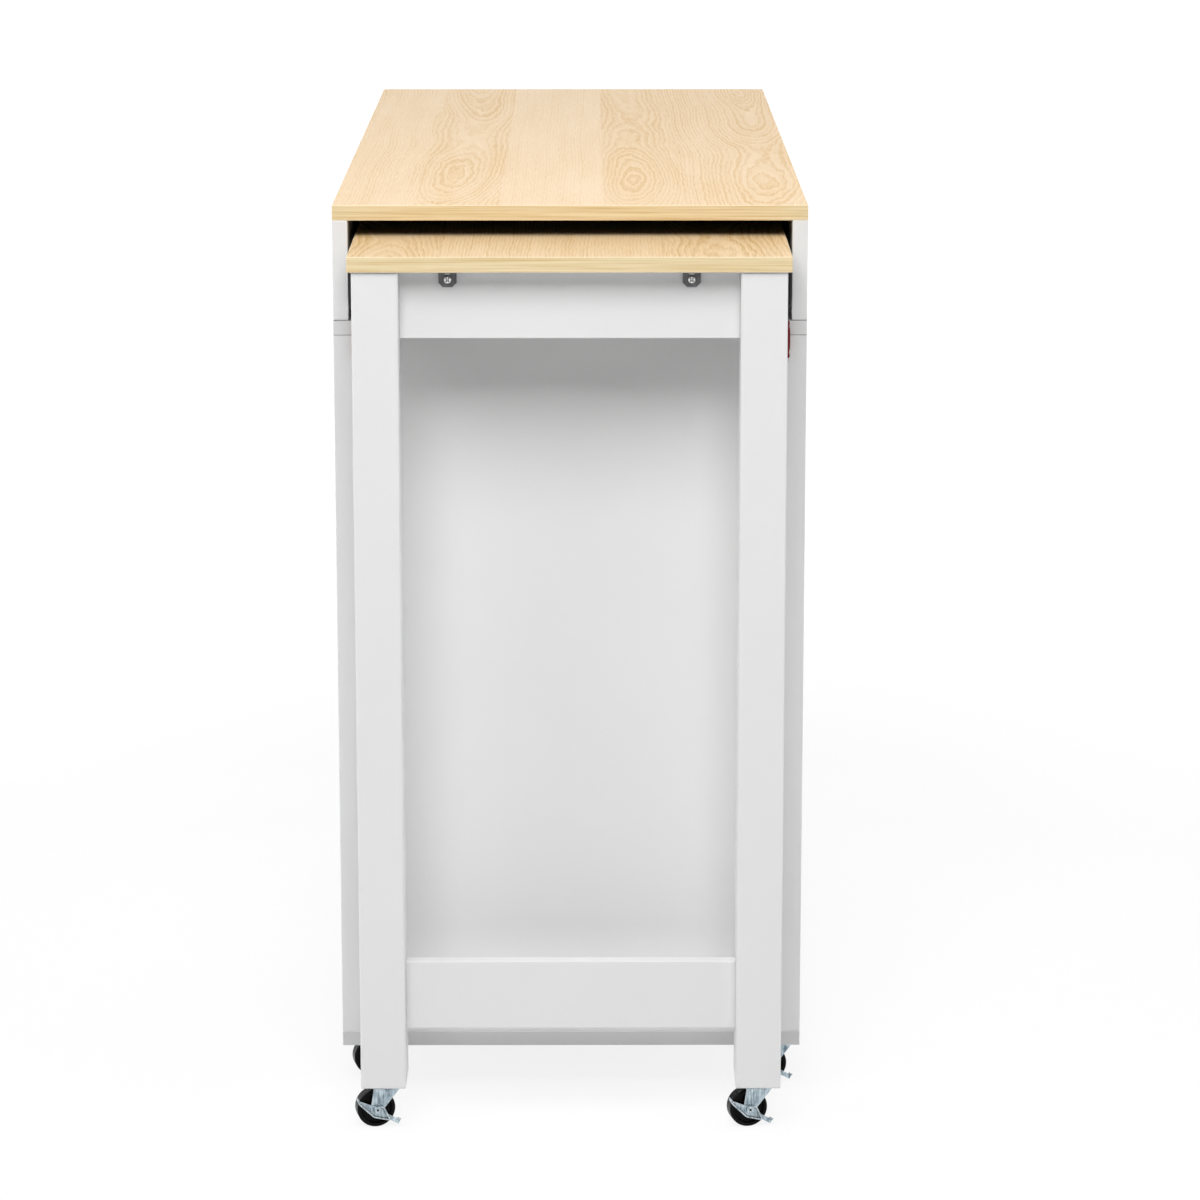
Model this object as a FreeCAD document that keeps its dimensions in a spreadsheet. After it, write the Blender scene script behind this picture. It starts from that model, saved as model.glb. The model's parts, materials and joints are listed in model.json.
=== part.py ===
"""Kitchen island on casters with a pull-out table that stands on its own castered legs.

Frame: X runs along the island, +X towards the end where the table pulls out. The long front with
the doors faces -Y. Z is up from the floor, and the origin is on the floor under the middle of the
whole object as it stands at rest, with the table pulled out a little. All sizes are millimetres.
"""
import FreeCAD, Part
import math
import os
import Sketcher
from FreeCAD import Placement, Rotation, Vector

SIZES = {
    # Carcass
    "body_length": 1100,
    "body_width": 460,
    "total_height": 896,
    "board_thickness": 15,
    "worktop_thickness": 15,
    "edge_ease": 0.6,
    "slot_height": 97,
    "back_thickness": 9,
    "back_recess": 3,
    "open_bay_width": 355,
    # Shelves
    "shelf_thickness": 15,
    "shelf_setback": 18,
    "shelf_play": 1,
    "shelf_level": 340,
    "upper_shelf_level": 470,
    "lower_shelf_level": 240,
    "pin_diameter": 5,
    "pin_depth": 8,
    "pin_reach": 8,
    "pin_inset": 60,
    "pin_pitch": 32,
    "pin_play": 0.05,
    "pin_collar_diameter": 8,
    "pin_collar_width": 0.8,
    # Doors
    "door_thickness": 15,
    "door_gap": 2.4,
    "knob_reach": 22,
    "knob_diameter": 26,
    "knob_stem_diameter": 10,
    "knob_flare": 3,
    "knob_head_height": 9,
    "knob_round": 3,
    "knob_drop": 70,
    "knob_inset": 30,
    # Butt hinges
    "leaf_thickness": 1,
    "leaf_height": 50,
    "leaf_depth": 13,
    "hinge_inset": 60,
    "barrel_diameter": 5.2,
    "barrel_standoff": 3,
    "barrel_gap": 0.3,
    "hinge_pin_diameter": 2.6,
    "hinge_pin_play": 0.05,
    # Pull-out table
    "table_play": 6,
    "table_length": 1000,
    "table_thickness": 15,
    "table_gap": 16,
    "table_overhang": 3,
    "leg_width": 44,
    "leg_depth": 60,
    "leg_inset": 4,
    "leg_reach": 134,
    "leg_ease": 1.2,
    "apron_height": 66,
    "apron_setback": 22,
    "stretcher_height": 68,
    "stretcher_level": 101,
    "rail_height": 58,
    "rear_rail_inset": 20,
    # Telescopic runners
    "runner_space": 12.7,
    "runner_height": 45,
    "runner_length": 700,
    "runner_inset": 24,
    "runner_drop": 7,
    "runner_sheet": 1.2,
    "runner_bend": 2,
    "runner_play": 0.4,
    "runner_lap": 3,
    "runner_hole": 5,
    "runner_hole_inset": 35,
    # Stop bumpers
    "bumper_width": 16,
    "bumper_height": 37,
    "bumper_thickness": 6,
    "bumper_show": 7,
    "bumper_play": 0.3,
    "bumper_ease": 1.2,
    # Angle brackets and their screws
    "bracket_width": 17,
    "bracket_leg": 16.8,
    "bracket_sheet": 2,
    "bracket_clip": 4,
    "bracket_hole": 9.7,
    "bracket_offset": 115,
    "screw_head_diameter": 7.6,
    "screw_head_height": 2.4,
    "under_head_height": 1.2,
    "screw_shank_diameter": 3.5,
    "screw_length": 11,
    "screw_play": 0.1,
    # Casters
    "caster_height": 46,
    "front_caster_inset": 36,
    "front_caster_setback": 54,
    "back_caster_inset": 22,
    "back_caster_setback": 30,
    "wheel_diameter": 38,
    "wheel_width": 16,
    "wheel_round": 2.5,
    "wheel_dish": 2.5,
    "wheel_slope": 1,
    "wheel_rim": 4,
    "hub_diameter": 15,
    "caster_trail": 10,
    "plate_length": 38,
    "plate_thickness": 2,
    "plate_corner": 3,
    "plate_screw_pitch": 28,
    "plate_screw_head": 6,
    "plate_screw_head_height": 1.8,
    "plate_screw_shank": 3,
    "plate_screw_length": 12,
    "kingpin_diameter": 7,
    "kingpin_head_diameter": 10,
    "kingpin_head_height": 1,
    "race_diameter": 25,
    "race_gap": 0.2,
    "crown_drop": 4.5,
    "crown_back": 14,
    "crown_front": 13,
    "fork_sheet": 1.5,
    "fork_gap": 17.4,
    "fork_bend": 2.7,
    "cheek_boss_diameter": 13,
    "axle_diameter": 5,
    "axle_head_diameter": 8,
    "axle_head_height": 1.4,
    "axle_head_round": 1,
    "rivet_bore": 2.6,
    "rivet_depth": 1.6,
    "running_play": 0.05,
    # Brake levers
    "lever_gap": 0.3,
    "lever_sheet": 1.2,
    "lever_rim": 2.6,
    "lever_rise": 8,
    "lever_tail_lap": 0.8,
    "lever_belly": 4.2,
    "lever_belly_drop": 7.4,
    "lever_belly_round": 8,
    "lever_nose": 13.4,
    "lever_nose_drop": 12,
    "lever_shoulder": 6.4,
    "lever_shoulder_rise": 3.4,
    "lever_shoulder_round": 4,
    "lever_waist": 5,
    "lever_waist_rise": 4.4,
    "lever_corner_round": 1.6,
    "tongue_angle": 30,
    "tongue_root": 7,
    "tongue_length": 8.4,
    "tongue_width": 4.4,
    "tab_width": 3.4,
    "tab_rise": 1.4,
    "tab_depth": 2.4,
    "shoe_gap": 0.4,
    "shoe_depth": 9,
    "shoe_height": 2.6,
}

# Resting headings of the casters, in degrees about Z: the direction in which each wheel trails
HEADINGS = {
    "near_left": -76,
    "near_right": -76,
    "far_left": -118,
    "far_right": -60,
    "leg_left": -76,
    "leg_right": -76,
}
BRAKED = ("near_right", "far_left", "leg_left", "leg_right")

SIDES = {"left": -1, "right": 1}
UP = Vector(0, 0, 1)
ACROSS = Vector(1, 0, 0)
DEEP = Vector(0, 1, 0)
FLUSH = 0.01

# Levels above the floor, as expressions on the sheet of sizes
BASE_TOP = "(Size.caster_height + Size.board_thickness)"
WORKTOP_UNDER = "(Size.total_height - Size.worktop_thickness)"
DECK_TOP = f"({WORKTOP_UNDER} - Size.slot_height)"
DECK_UNDER = f"({DECK_TOP} - Size.board_thickness)"
TABLE_TOP = f"({WORKTOP_UNDER} - Size.table_gap)"
TABLE_UNDER = f"({TABLE_TOP} - Size.table_thickness)"
BAY_HEIGHT = f"({DECK_UNDER} - {BASE_TOP})"

# Planes across the width: the knobs stand out of the front, so the cabinet's middle is off centre
MIDDLE = "(Size.knob_reach / 2)"
FRONT = f"({MIDDLE} - Size.body_width / 2)"
BACK = f"({MIDDLE} + Size.body_width / 2)"
BACK_PANEL_FACE = f"({BACK} - Size.back_recess - Size.back_thickness)"
INNER_WIDTH = "(Size.body_width - 2 * Size.board_thickness)"
TABLE_WIDTH = f"({INNER_WIDTH} - 2 * Size.table_play)"
LEG_SPAN = f"({TABLE_WIDTH} - 2 * Size.leg_inset)"
LEG_GAP = f"({LEG_SPAN} - 2 * Size.leg_width)"

# Planes along the length
FAR = "(-(Size.body_length + Size.leg_reach + Size.table_overhang) / 2)"
NEAR = f"({FAR} + Size.body_length)"
FAR_FACE = f"({FAR} + Size.board_thickness)"
NEAR_FACE = f"({NEAR} - Size.board_thickness)"
DIVIDER_NEAR = f"({NEAR_FACE} - Size.open_bay_width)"
DIVIDER_FAR = f"({DIVIDER_NEAR} - Size.board_thickness)"
DOOR_BAY_WIDTH = f"({DIVIDER_FAR} - {FAR_FACE})"
LEG_FRONT = f"({NEAR} + Size.leg_reach)"
LEG_BACK = f"({LEG_FRONT} - Size.leg_depth)"
APRON_BACK = f"({LEG_FRONT} - Size.apron_setback - Size.board_thickness)"
TABLE_REAR = f"({LEG_FRONT} + Size.table_overhang - Size.table_length)"

# How far the table stands out of its closed place at rest
PULLED_OUT = "(Size.leg_reach - Size.leg_depth - Size.bumper_thickness - Size.bumper_play)"

doc = FreeCAD.newDocument("kitchen_island")
nodes = []


def make_sheet():
    """Write every driving size to the sheet, one aliased cell each."""
    sheet = doc.addObject("Spreadsheet::Sheet", "Size")
    for row, (alias, value) in enumerate(SIZES.items(), start=1):
        cell = f"A{row}"
        sheet.set(cell, str(value))
        sheet.setAlias(cell, alias)
    doc.recompute()


def bind(target, **expressions):
    """Bind properties of an object to expressions on the sheet."""
    for name, expression in expressions.items():
        target.setExpression(name, expression)


def place(target, position, rotation=None):
    """Turn an object, then bind its position to three expressions."""
    target.Placement = Placement(Vector(), rotation or Rotation())
    for axis, expression in zip("xyz", position):
        target.setExpression(f"Placement.Base.{axis}", expression)


def new_body(label):
    """Start an empty body."""
    body = doc.addObject("PartDesign::Body", label)
    body.Label = label
    return body


def keep(part, label=None):
    """Count a finished object as one of the sub-parts."""
    if label:
        part.Label = label
    nodes.append(part)
    return part


def group(label, parts):
    """Gather identical solids in one sub-part."""
    gathered = doc.addObject("Part::Compound", label)
    gathered.Links = parts
    return keep(gathered, label)


def add_box(body, kind, size, corner):
    """Add a box to a body, or cut one from it."""
    box = body.newObject(f"PartDesign::{kind}Box", f"{kind}Box")
    bind(box, Length=size[0], Width=size[1], Height=size[2])
    place(box, corner)
    return box


def add_cylinder(body, kind, diameter, height, foot, axis="z"):
    """Add a cylinder to a body, or cut one from it, rising from its foot along an axis."""
    turns = {"x": Rotation(DEEP, 90), "y": Rotation(ACROSS, -90), "z": Rotation()}
    cylinder = body.newObject(f"PartDesign::{kind}Cylinder", f"{kind}Cylinder")
    bind(cylinder, Radius=f"({diameter}) / 2", Height=height)
    place(cylinder, foot, turns[axis])
    return cylinder


def outline(body, plane, corners):
    """Draw a closed outline of straight lines through corners given as pairs of expressions."""
    sketch = body.newObject("Sketcher::SketchObject", "Outline")
    support = next(item for item in body.Origin.OriginFeatures if item.Role == plane)
    sketch.AttachmentSupport = (support, [""])
    sketch.MapMode = "FlatFace"
    count = len(corners)
    turn = 2 * math.pi / count
    start = [Vector(math.cos(i * turn), math.sin(i * turn), 0) for i in range(count)]
    for i in range(count):
        sketch.addGeometry(Part.LineSegment(start[i], start[(i + 1) % count]), False)
    for i in range(count):
        sketch.addConstraint(Sketcher.Constraint("Coincident", i, 2, (i + 1) % count, 1))
    for i, corner in enumerate(corners):
        for kind, expression in zip(("DistanceX", "DistanceY"), corner):
            index = sketch.addConstraint(Sketcher.Constraint(kind, i, 1, 1.0))
            sketch.setExpression(f"Constraints[{index}]", expression)
    return sketch


def pad(body, sketch, length, reverse=False, both_ways=False):
    """Raise an outline to a thickness."""
    raised = body.newObject("PartDesign::Pad", "Pad")
    raised.Profile = sketch
    raised.Reversed = reverse
    raised.Midplane = both_ways
    bind(raised, Length=length)
    return raised


def pocket(body, sketch, depth):
    """Sink an outline into a body."""
    sunk = body.newObject("PartDesign::Pocket", "Pocket")
    sunk.Profile = sketch
    bind(sunk, Length=depth)
    return sunk


def turned(label, profile):
    """Turn a profile of (radius, along) pairs about the body's own Y axis."""
    body = new_body(label)
    sketch = outline(body, "XY_Plane", profile)
    revolution = body.newObject("PartDesign::Revolution", "Revolution")
    revolution.Profile = sketch
    revolution.ReferenceAxis = (sketch, ["V_Axis"])
    return body


def dress_edges(body, kind, base, chosen, size):
    """Chamfer or fillet the edges of a body's last feature that a test chooses."""
    doc.recompute()
    names = [f"Edge{i}" for i, edge in enumerate(base.Shape.Edges, start=1) if chosen(edge)]
    dressed = body.newObject(f"PartDesign::{kind}", kind)
    dressed.Base = (base, names)
    bind(dressed, **{"Size" if kind == "Chamfer" else "Radius": size})
    return dressed


def hollow_out(body, base, is_open, sheet):
    """Hollow a body out to a sheet, open at the face that a test chooses."""
    doc.recompute()
    names = [f"Face{i}" for i, face in enumerate(base.Shape.Faces, start=1) if is_open(face)]
    hollow = body.newObject("PartDesign::Thickness", "Thickness")
    hollow.Base = (base, names)
    hollow.Reversed = True
    bind(hollow, Value=sheet)
    return hollow


def any_edge(edge):
    """Choose every edge."""
    return True


def along(axis):
    """Choose the straight edges that run along an axis."""
    def test(edge):
        return edge.Curve.TypeId == "Part::GeomLine" and abs(edge.Curve.Direction.dot(axis)) > 0.999
    return test


def rims(feature):
    """Choose the circles at both ends of a turned feature."""
    def test(edge):
        box = feature.Shape.BoundBox
        return edge.BoundBox.YMin > box.YMax - FLUSH or edge.BoundBox.YMax < box.YMin + FLUSH
    return test


def board(label, size, corner, ease="Size.edge_ease"):
    """A flat board with eased arrises, placed by its low corner."""
    body = new_body(label)
    blank = add_box(body, "Additive", size, ("0", "0", "0"))
    dress_edges(body, "Chamfer", blank, any_edge, ease)
    place(body, corner)
    return body


def mirrored(side, inner, width):
    """Low corner across the width of a piece that starts at a distance from the middle."""
    if side > 0:
        return f"({MIDDLE} + ({inner}))"
    return f"({MIDDLE} - ({inner}) - ({width}))"


def offset(side, distance):
    """A plane at a distance from the middle, on one side of it."""
    return f"({MIDDLE} + {side} * ({distance}))"


def make_carcass():
    """Base, ends, deck, slot sides and worktop."""
    thick = "Size.board_thickness"
    full = ("Size.body_length", "Size.body_width", thick)
    keep(board("base_board", full, (FAR, FRONT, "Size.caster_height")))
    keep(board("deck_board", full, (FAR, FRONT, DECK_UNDER)))
    keep(board("worktop", ("Size.body_length", "Size.body_width", "Size.worktop_thickness"),
               (FAR, FRONT, WORKTOP_UNDER)))
    end = (thick, "Size.body_width", BAY_HEIGHT)
    keep(board("near_end_panel", end, (NEAR_FACE, FRONT, BASE_TOP)))
    drill_for_pins(keep(board("far_end_panel", end, (FAR, FRONT, BASE_TOP))), thick, -1)
    side = ("Size.body_length", thick, "Size.slot_height")
    keep(board("front_upper_side", side, (FAR, FRONT, DECK_TOP)))
    keep(board("back_upper_side", side, (FAR, f"{BACK} - {thick}", DECK_TOP)))
    keep(board("far_upper_end", (thick, INNER_WIDTH, "Size.slot_height"),
               (FAR, f"{FRONT} + {thick}", DECK_TOP)))
    keep(board("back_panel", (f"{NEAR_FACE} - {FAR_FACE}", "Size.back_thickness", BAY_HEIGHT),
               (FAR_FACE, BACK_PANEL_FACE, BASE_TOP)))
    divider = keep(board("divider_panel", (thick, f"{BACK_PANEL_FACE} - {FRONT}", BAY_HEIGHT),
                         (DIVIDER_FAR, FRONT, BASE_TOP)))
    drill_for_pins(divider, "Size.pin_depth", 1)


PIN_ROWS = 5
PIN_COLUMNS = ("Size.pin_inset + Size.door_thickness",
               f"{BACK_PANEL_FACE} - {FRONT} - Size.pin_inset")
PIN_LEVEL = "(Size.shelf_level - Size.pin_diameter / 2)"
SHELF_PIN_ROW = 2


def repeat(body, holes, axis, count, length):
    """Repeat holes along one of a body's own axes, over a length."""
    row = body.newObject("PartDesign::LinearPattern", "HoleRow")
    row.Originals = holes
    row.Direction = (next(item for item in body.Origin.OriginFeatures if item.Role == axis), [""])
    row.Occurrences = count
    bind(row, Length=length)
    body.Tip = row


def drill_for_pins(panel, face, side):
    """Drill two columns of blind shelf pin holes into the face of a panel towards the door bay."""
    foot = f"{face} - Size.pin_depth" if side < 0 else "0"
    lowest = f"{PIN_LEVEL} - {SHELF_PIN_ROW} * Size.pin_pitch - {BASE_TOP}"
    holes = [add_cylinder(panel, "Subtractive", "Size.pin_diameter + 2 * Size.pin_play",
                          "Size.pin_depth", (foot, column, lowest), "x")
             for column in PIN_COLUMNS]
    repeat(panel, holes, "Z_Axis", PIN_ROWS, f"{PIN_ROWS - 1} * Size.pin_pitch")


def make_shelves():
    """The adjustable shelf on its pins, and the fixed shelves of the open bay."""
    depth = f"{BACK_PANEL_FACE} - {FRONT} - Size.door_thickness - Size.shelf_setback"
    keep(board("adjustable_shelf",
               (f"{DOOR_BAY_WIDTH} - 2 * Size.shelf_play", depth, "Size.shelf_thickness"),
               (f"{FAR_FACE} + Size.shelf_play",
                f"{FRONT} + Size.door_thickness + Size.shelf_setback", "Size.shelf_level")))
    group("open_bay_shelves", [
        board("open_shelf",
              ("Size.open_bay_width", f"{BACK_PANEL_FACE} - {FRONT} - Size.shelf_setback",
               "Size.shelf_thickness"),
              (DIVIDER_NEAR, f"{FRONT} + Size.shelf_setback", level))
        for level in ("Size.lower_shelf_level", "Size.upper_shelf_level")])
    pins = []
    ends = ((f"{FAR_FACE} - Size.pin_depth", "Size.pin_depth"),
            (f"{DIVIDER_FAR} - Size.pin_reach", "Size.pin_reach - Size.pin_collar_width"))
    for start, collar in ends:
        for column in PIN_COLUMNS:
            pin = new_body("shelf_pin")
            add_cylinder(pin, "Additive", "Size.pin_diameter", "Size.pin_depth + Size.pin_reach",
                         ("0", "0", "0"), "x")
            add_cylinder(pin, "Additive", "Size.pin_collar_diameter", "Size.pin_collar_width",
                         (collar, "0", "0"), "x")
            place(pin, (start, f"{FRONT} + {column}", PIN_LEVEL))
            pins.append(pin)
    group("shelf_pins", pins)


DOOR_WIDTH = f"(({DOOR_BAY_WIDTH} - 3 * Size.door_gap) / 2)"
DOOR_BOTTOM = f"({BASE_TOP} + Size.door_gap)"
DOOR_HEIGHT = f"({BAY_HEIGHT} - 2 * Size.door_gap)"
HINGE_OUT = f"({FRONT} - Size.barrel_standoff)"
HINGE_LEVELS = (f"({DOOR_BOTTOM} + Size.hinge_inset)",
                f"({DOOR_BOTTOM} + {DOOR_HEIGHT} - Size.hinge_inset - Size.leaf_height)")
BARREL_BORE = "Size.hinge_pin_diameter + 2 * Size.hinge_pin_play"
BARREL_LENGTH = "((Size.leaf_height - 2 * Size.barrel_gap) / 3)"


def hinge_leaf(towards_door, knuckles):
    """A butt hinge leaf with its rolled knuckles; its own Z axis is the pin and +Y goes inwards."""
    leaf = new_body("hinge_leaf")
    # The two leaves lie back to back in the gap, with the play between them
    outer = "Size.door_gap / 2"
    low = f"{outer} - Size.leaf_thickness" if towards_door > 0 else f"-({outer})"
    for level in knuckles:
        add_cylinder(leaf, "Additive", "Size.barrel_diameter", BARREL_LENGTH, ("0", "0", level))
        add_box(leaf, "Additive",
                ("Size.leaf_thickness", "Size.leaf_depth + Size.barrel_standoff", BARREL_LENGTH),
                (low, "0", level))
    add_box(leaf, "Additive", ("Size.leaf_thickness", "Size.leaf_depth", "Size.leaf_height"),
            (low, "Size.barrel_standoff", "0"))
    add_cylinder(leaf, "Subtractive", BARREL_BORE, "Size.leaf_height", ("0", "0", "0"))
    return leaf


def make_doors():
    """Two inset doors with knobs, and a pair of butt hinges on each."""
    low = "0"
    middle = f"({BARREL_LENGTH} + Size.barrel_gap)"
    high = f"(2 * {middle})"
    carcass_leaves = []
    pins = []
    doors = {
        # name: (low edge of the door, hinge plane, which way the door lies from its hinge)
        "far": (f"{FAR_FACE} + Size.door_gap", f"({FAR_FACE} + Size.door_gap / 2)", 1),
        "near": (f"{DIVIDER_FAR} - Size.door_gap - {DOOR_WIDTH}",
                 f"({DIVIDER_FAR} - Size.door_gap / 2)", -1),
    }
    for name, (edge, hinge, way) in doors.items():
        keep(board(f"{name}_door", (DOOR_WIDTH, "Size.door_thickness", DOOR_HEIGHT),
                   (edge, FRONT, DOOR_BOTTOM)))
        knob_edge = f"{edge} + {DOOR_WIDTH} - Size.knob_inset" if way > 0 else f"{edge} + Size.knob_inset"
        make_knob(f"{name}_door_knob", knob_edge)
        door_leaves = []
        for level in HINGE_LEVELS:
            carcass_leaf = hinge_leaf(-way, (low, high))
            place(carcass_leaf, (hinge, HINGE_OUT, level))
            carcass_leaves.append(carcass_leaf)
            door_leaf = hinge_leaf(way, (middle,))
            place(door_leaf, (hinge, HINGE_OUT, level))
            door_leaves.append(door_leaf)
            pin = new_body("hinge_pin")
            add_cylinder(pin, "Additive", "Size.hinge_pin_diameter", "Size.leaf_height", ("0", "0", "0"))
            place(pin, (hinge, HINGE_OUT, level))
            pins.append(pin)
        group(f"{name}_door_hinge_leaves", door_leaves)
    group("carcass_hinge_leaves", carcass_leaves)
    group("hinge_pins", pins)


def make_knob(label, across):
    """A turned knob: a tapered stem and a rounded head, standing out of the door's front."""
    stem = "Size.knob_stem_diameter / 2"
    head = "Size.knob_diameter / 2"
    under = "(Size.knob_head_height - Size.knob_reach)"
    knob = turned(label, [
        ("0", "0"),
        (f"{stem} + Size.knob_flare", "0"),
        (stem, under),
        (head, under),
        (head, "-Size.knob_reach"),
        ("0", "-Size.knob_reach"),
    ])

    def off_the_door(edge):
        return edge.Curve.TypeId == "Part::GeomCircle" and edge.BoundBox.YMax < -FLUSH

    dress_edges(knob, "Fillet", knob.Tip, off_the_door, "Size.knob_round")
    place(knob, (across, FRONT, f"{DOOR_BOTTOM} + {DOOR_HEIGHT} - Size.knob_drop"))
    return keep(knob)


RAIL_OUTER = f"({INNER_WIDTH} / 2 - Size.runner_space)"
RAIL_INNER = f"({RAIL_OUTER} - Size.board_thickness)"


def make_table():
    """Pull-out table: top, rails, legs, apron and stretcher."""
    thick = "Size.board_thickness"
    keep(board("table_top", ("Size.table_length", TABLE_WIDTH, "Size.table_thickness"),
               (TABLE_REAR, f"{MIDDLE} - {TABLE_WIDTH} / 2", TABLE_UNDER)))
    leg_height = f"{TABLE_UNDER} - Size.caster_height"
    rail_start = f"({TABLE_REAR} + Size.rear_rail_inset)"
    rails = []
    for name, side in SIDES.items():
        keep(board(f"{name}_leg", ("Size.leg_depth", "Size.leg_width", leg_height),
                   (LEG_BACK, mirrored(side, f"{LEG_GAP} / 2", "Size.leg_width"), "Size.caster_height"),
                   "Size.leg_ease"))
        rails.append(board("table_rail", (f"{LEG_BACK} - {rail_start}", thick, "Size.rail_height"),
                           (rail_start, mirrored(side, RAIL_INNER, thick),
                            f"{TABLE_UNDER} - Size.rail_height")))
    group("table_side_rails", rails)
    keep(board("table_rear_rail", (thick, f"2 * {RAIL_INNER}", "Size.rail_height"),
               (rail_start, f"{MIDDLE} - {RAIL_INNER}", f"{TABLE_UNDER} - Size.rail_height")))
    keep(board("table_apron", (thick, LEG_GAP, "Size.apron_height"),
               (APRON_BACK, f"{MIDDLE} - {LEG_GAP} / 2", f"{TABLE_UNDER} - Size.apron_height")))
    keep(board("leg_stretcher", (thick, LEG_GAP, "Size.stretcher_height"),
               (APRON_BACK, f"{MIDDLE} - {LEG_GAP} / 2", "Size.stretcher_level")))


# How far the cross recess of a bracket's front screw is turned, in degrees
CROSS_TURN = 45


def make_brackets():
    """Two angle brackets between the apron and the table top, with two screws each."""
    brackets = []
    screws = []
    half = "Size.bracket_width / 2"
    apron_face = f"({APRON_BACK} + Size.board_thickness)"
    for side in SIDES.values():
        middle = offset(side, "Size.bracket_offset")
        bracket = new_body("angle_bracket")
        plate = outline(bracket, "YZ_Plane", [
            (f"-{half}", "0"),
            (f"-{half}", "Size.bracket_clip - Size.bracket_leg"),
            (f"Size.bracket_clip - {half}", "-Size.bracket_leg"),
            (f"{half} - Size.bracket_clip", "-Size.bracket_leg"),
            (half, "Size.bracket_clip - Size.bracket_leg"),
            (half, "0"),
        ])
        pad(bracket, plate, "Size.bracket_sheet")
        add_box(bracket, "Additive", ("Size.bracket_leg", "Size.bracket_width", "Size.bracket_sheet"),
                ("0", f"-{half}", "-Size.bracket_sheet"))
        for axis, foot in (("x", ("0", "0", "-Size.bracket_hole")),
                           ("z", ("Size.bracket_hole", "0", "-Size.bracket_sheet"))):
            add_cylinder(bracket, "Subtractive", "Size.screw_shank_diameter + 2 * Size.screw_play",
                         "Size.bracket_sheet", foot, axis)
        place(bracket, (apron_face, middle, TABLE_UNDER))
        brackets.append(bracket)
        front = screw("Size.screw_head_diameter", "Size.screw_head_height",
                      "Size.screw_shank_diameter", "Size.screw_length")
        place(front, (f"{apron_face} + Size.bracket_sheet", middle,
                      f"{TABLE_UNDER} - Size.bracket_hole"), Rotation(UP, -90) * Rotation(DEEP, CROSS_TURN))
        under = screw("Size.screw_head_diameter", "Size.under_head_height",
                      "Size.screw_shank_diameter", "Size.screw_length")
        place(under, (f"{apron_face} + Size.bracket_hole", middle,
                      f"{TABLE_UNDER} - Size.bracket_sheet"), Rotation(ACROSS, -90))
        screws += [front, under]
    group("angle_brackets", brackets)
    group("bracket_screws", screws)


# Cross recess and rounding of a pan head, as shares of the head
RECESS_SPAN = 0.62
RECESS_WIDTH = 0.2
RECESS_DEPTH = 0.75
HEAD_ROUND = 0.8


def screw(head, head_height, shank, length):
    """A cross-head pan screw; its own +Y axis points out of the head."""
    fixing = turned("screw", [
        ("0", f"-({length})"),
        (f"{shank} / 2", f"-({length}) + {shank}"),
        (f"{shank} / 2", "0"),
        (f"{head} / 2", "0"),
        (f"{head} / 2", head_height),
        ("0", head_height),
    ])
    blank = fixing.Tip

    def top_rim(edge):
        return edge.BoundBox.YMin > blank.Shape.BoundBox.YMax - FLUSH

    dress_edges(fixing, "Fillet", blank, top_rim, f"{HEAD_ROUND} * {head_height}")
    long, short = f"{RECESS_SPAN} * {head}", f"{RECESS_WIDTH} * {head}"
    for width, height in ((long, short), (short, long)):
        add_box(fixing, "Subtractive", (width, f"{RECESS_DEPTH} * {head_height}", height),
                (f"-{width} / 2", f"{1 - RECESS_DEPTH} * {head_height}", f"-{height} / 2"))
    return fixing


RUNNER_HOLES = 8


def channel(depth, height, web_first):
    """A runner member: a rolled channel along X whose own +Y axis points at the table rail."""
    body = new_body("channel")
    sheet = "Size.runner_sheet"
    half = f"({height}) / 2"
    web, lip = ("0", depth) if web_first else (depth, "0")
    web_inner = sheet if web_first else f"{depth} - {sheet}"
    section = outline(body, "YZ_Plane", [
        (web, f"-{half}"),
        (web, half),
        (lip, half),
        (lip, f"{half} - {sheet}"),
        (web_inner, f"{half} - {sheet}"),
        (web_inner, f"{sheet} - {half}"),
        (lip, f"{sheet} - {half}"),
        (lip, f"-{half}"),
    ])
    rolled = pad(body, section, "Size.runner_length")

    def from_web(edge):
        box = rolled.Shape.BoundBox
        return abs(edge.CenterOfMass.y - (box.YMin if web_first else box.YMax))

    def outer_bend(edge):
        return along(ACROSS)(edge) and from_web(edge) < FLUSH

    def inner_bend(edge):
        return along(ACROSS)(edge) and abs(from_web(edge) - SIZES["runner_sheet"]) < FLUSH

    rolled = dress_edges(body, "Fillet", rolled, outer_bend, "Size.runner_bend")
    dress_edges(body, "Fillet", rolled, inner_bend, f"Size.runner_bend - {sheet}")
    hole = add_cylinder(body, "Subtractive", "Size.runner_hole", sheet,
                        ("Size.runner_hole_inset", "0" if web_first else web_inner, "0"), "y")
    repeat(body, [hole], "X_Axis", RUNNER_HOLES, "Size.runner_length - 2 * Size.runner_hole_inset")
    return body


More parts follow.
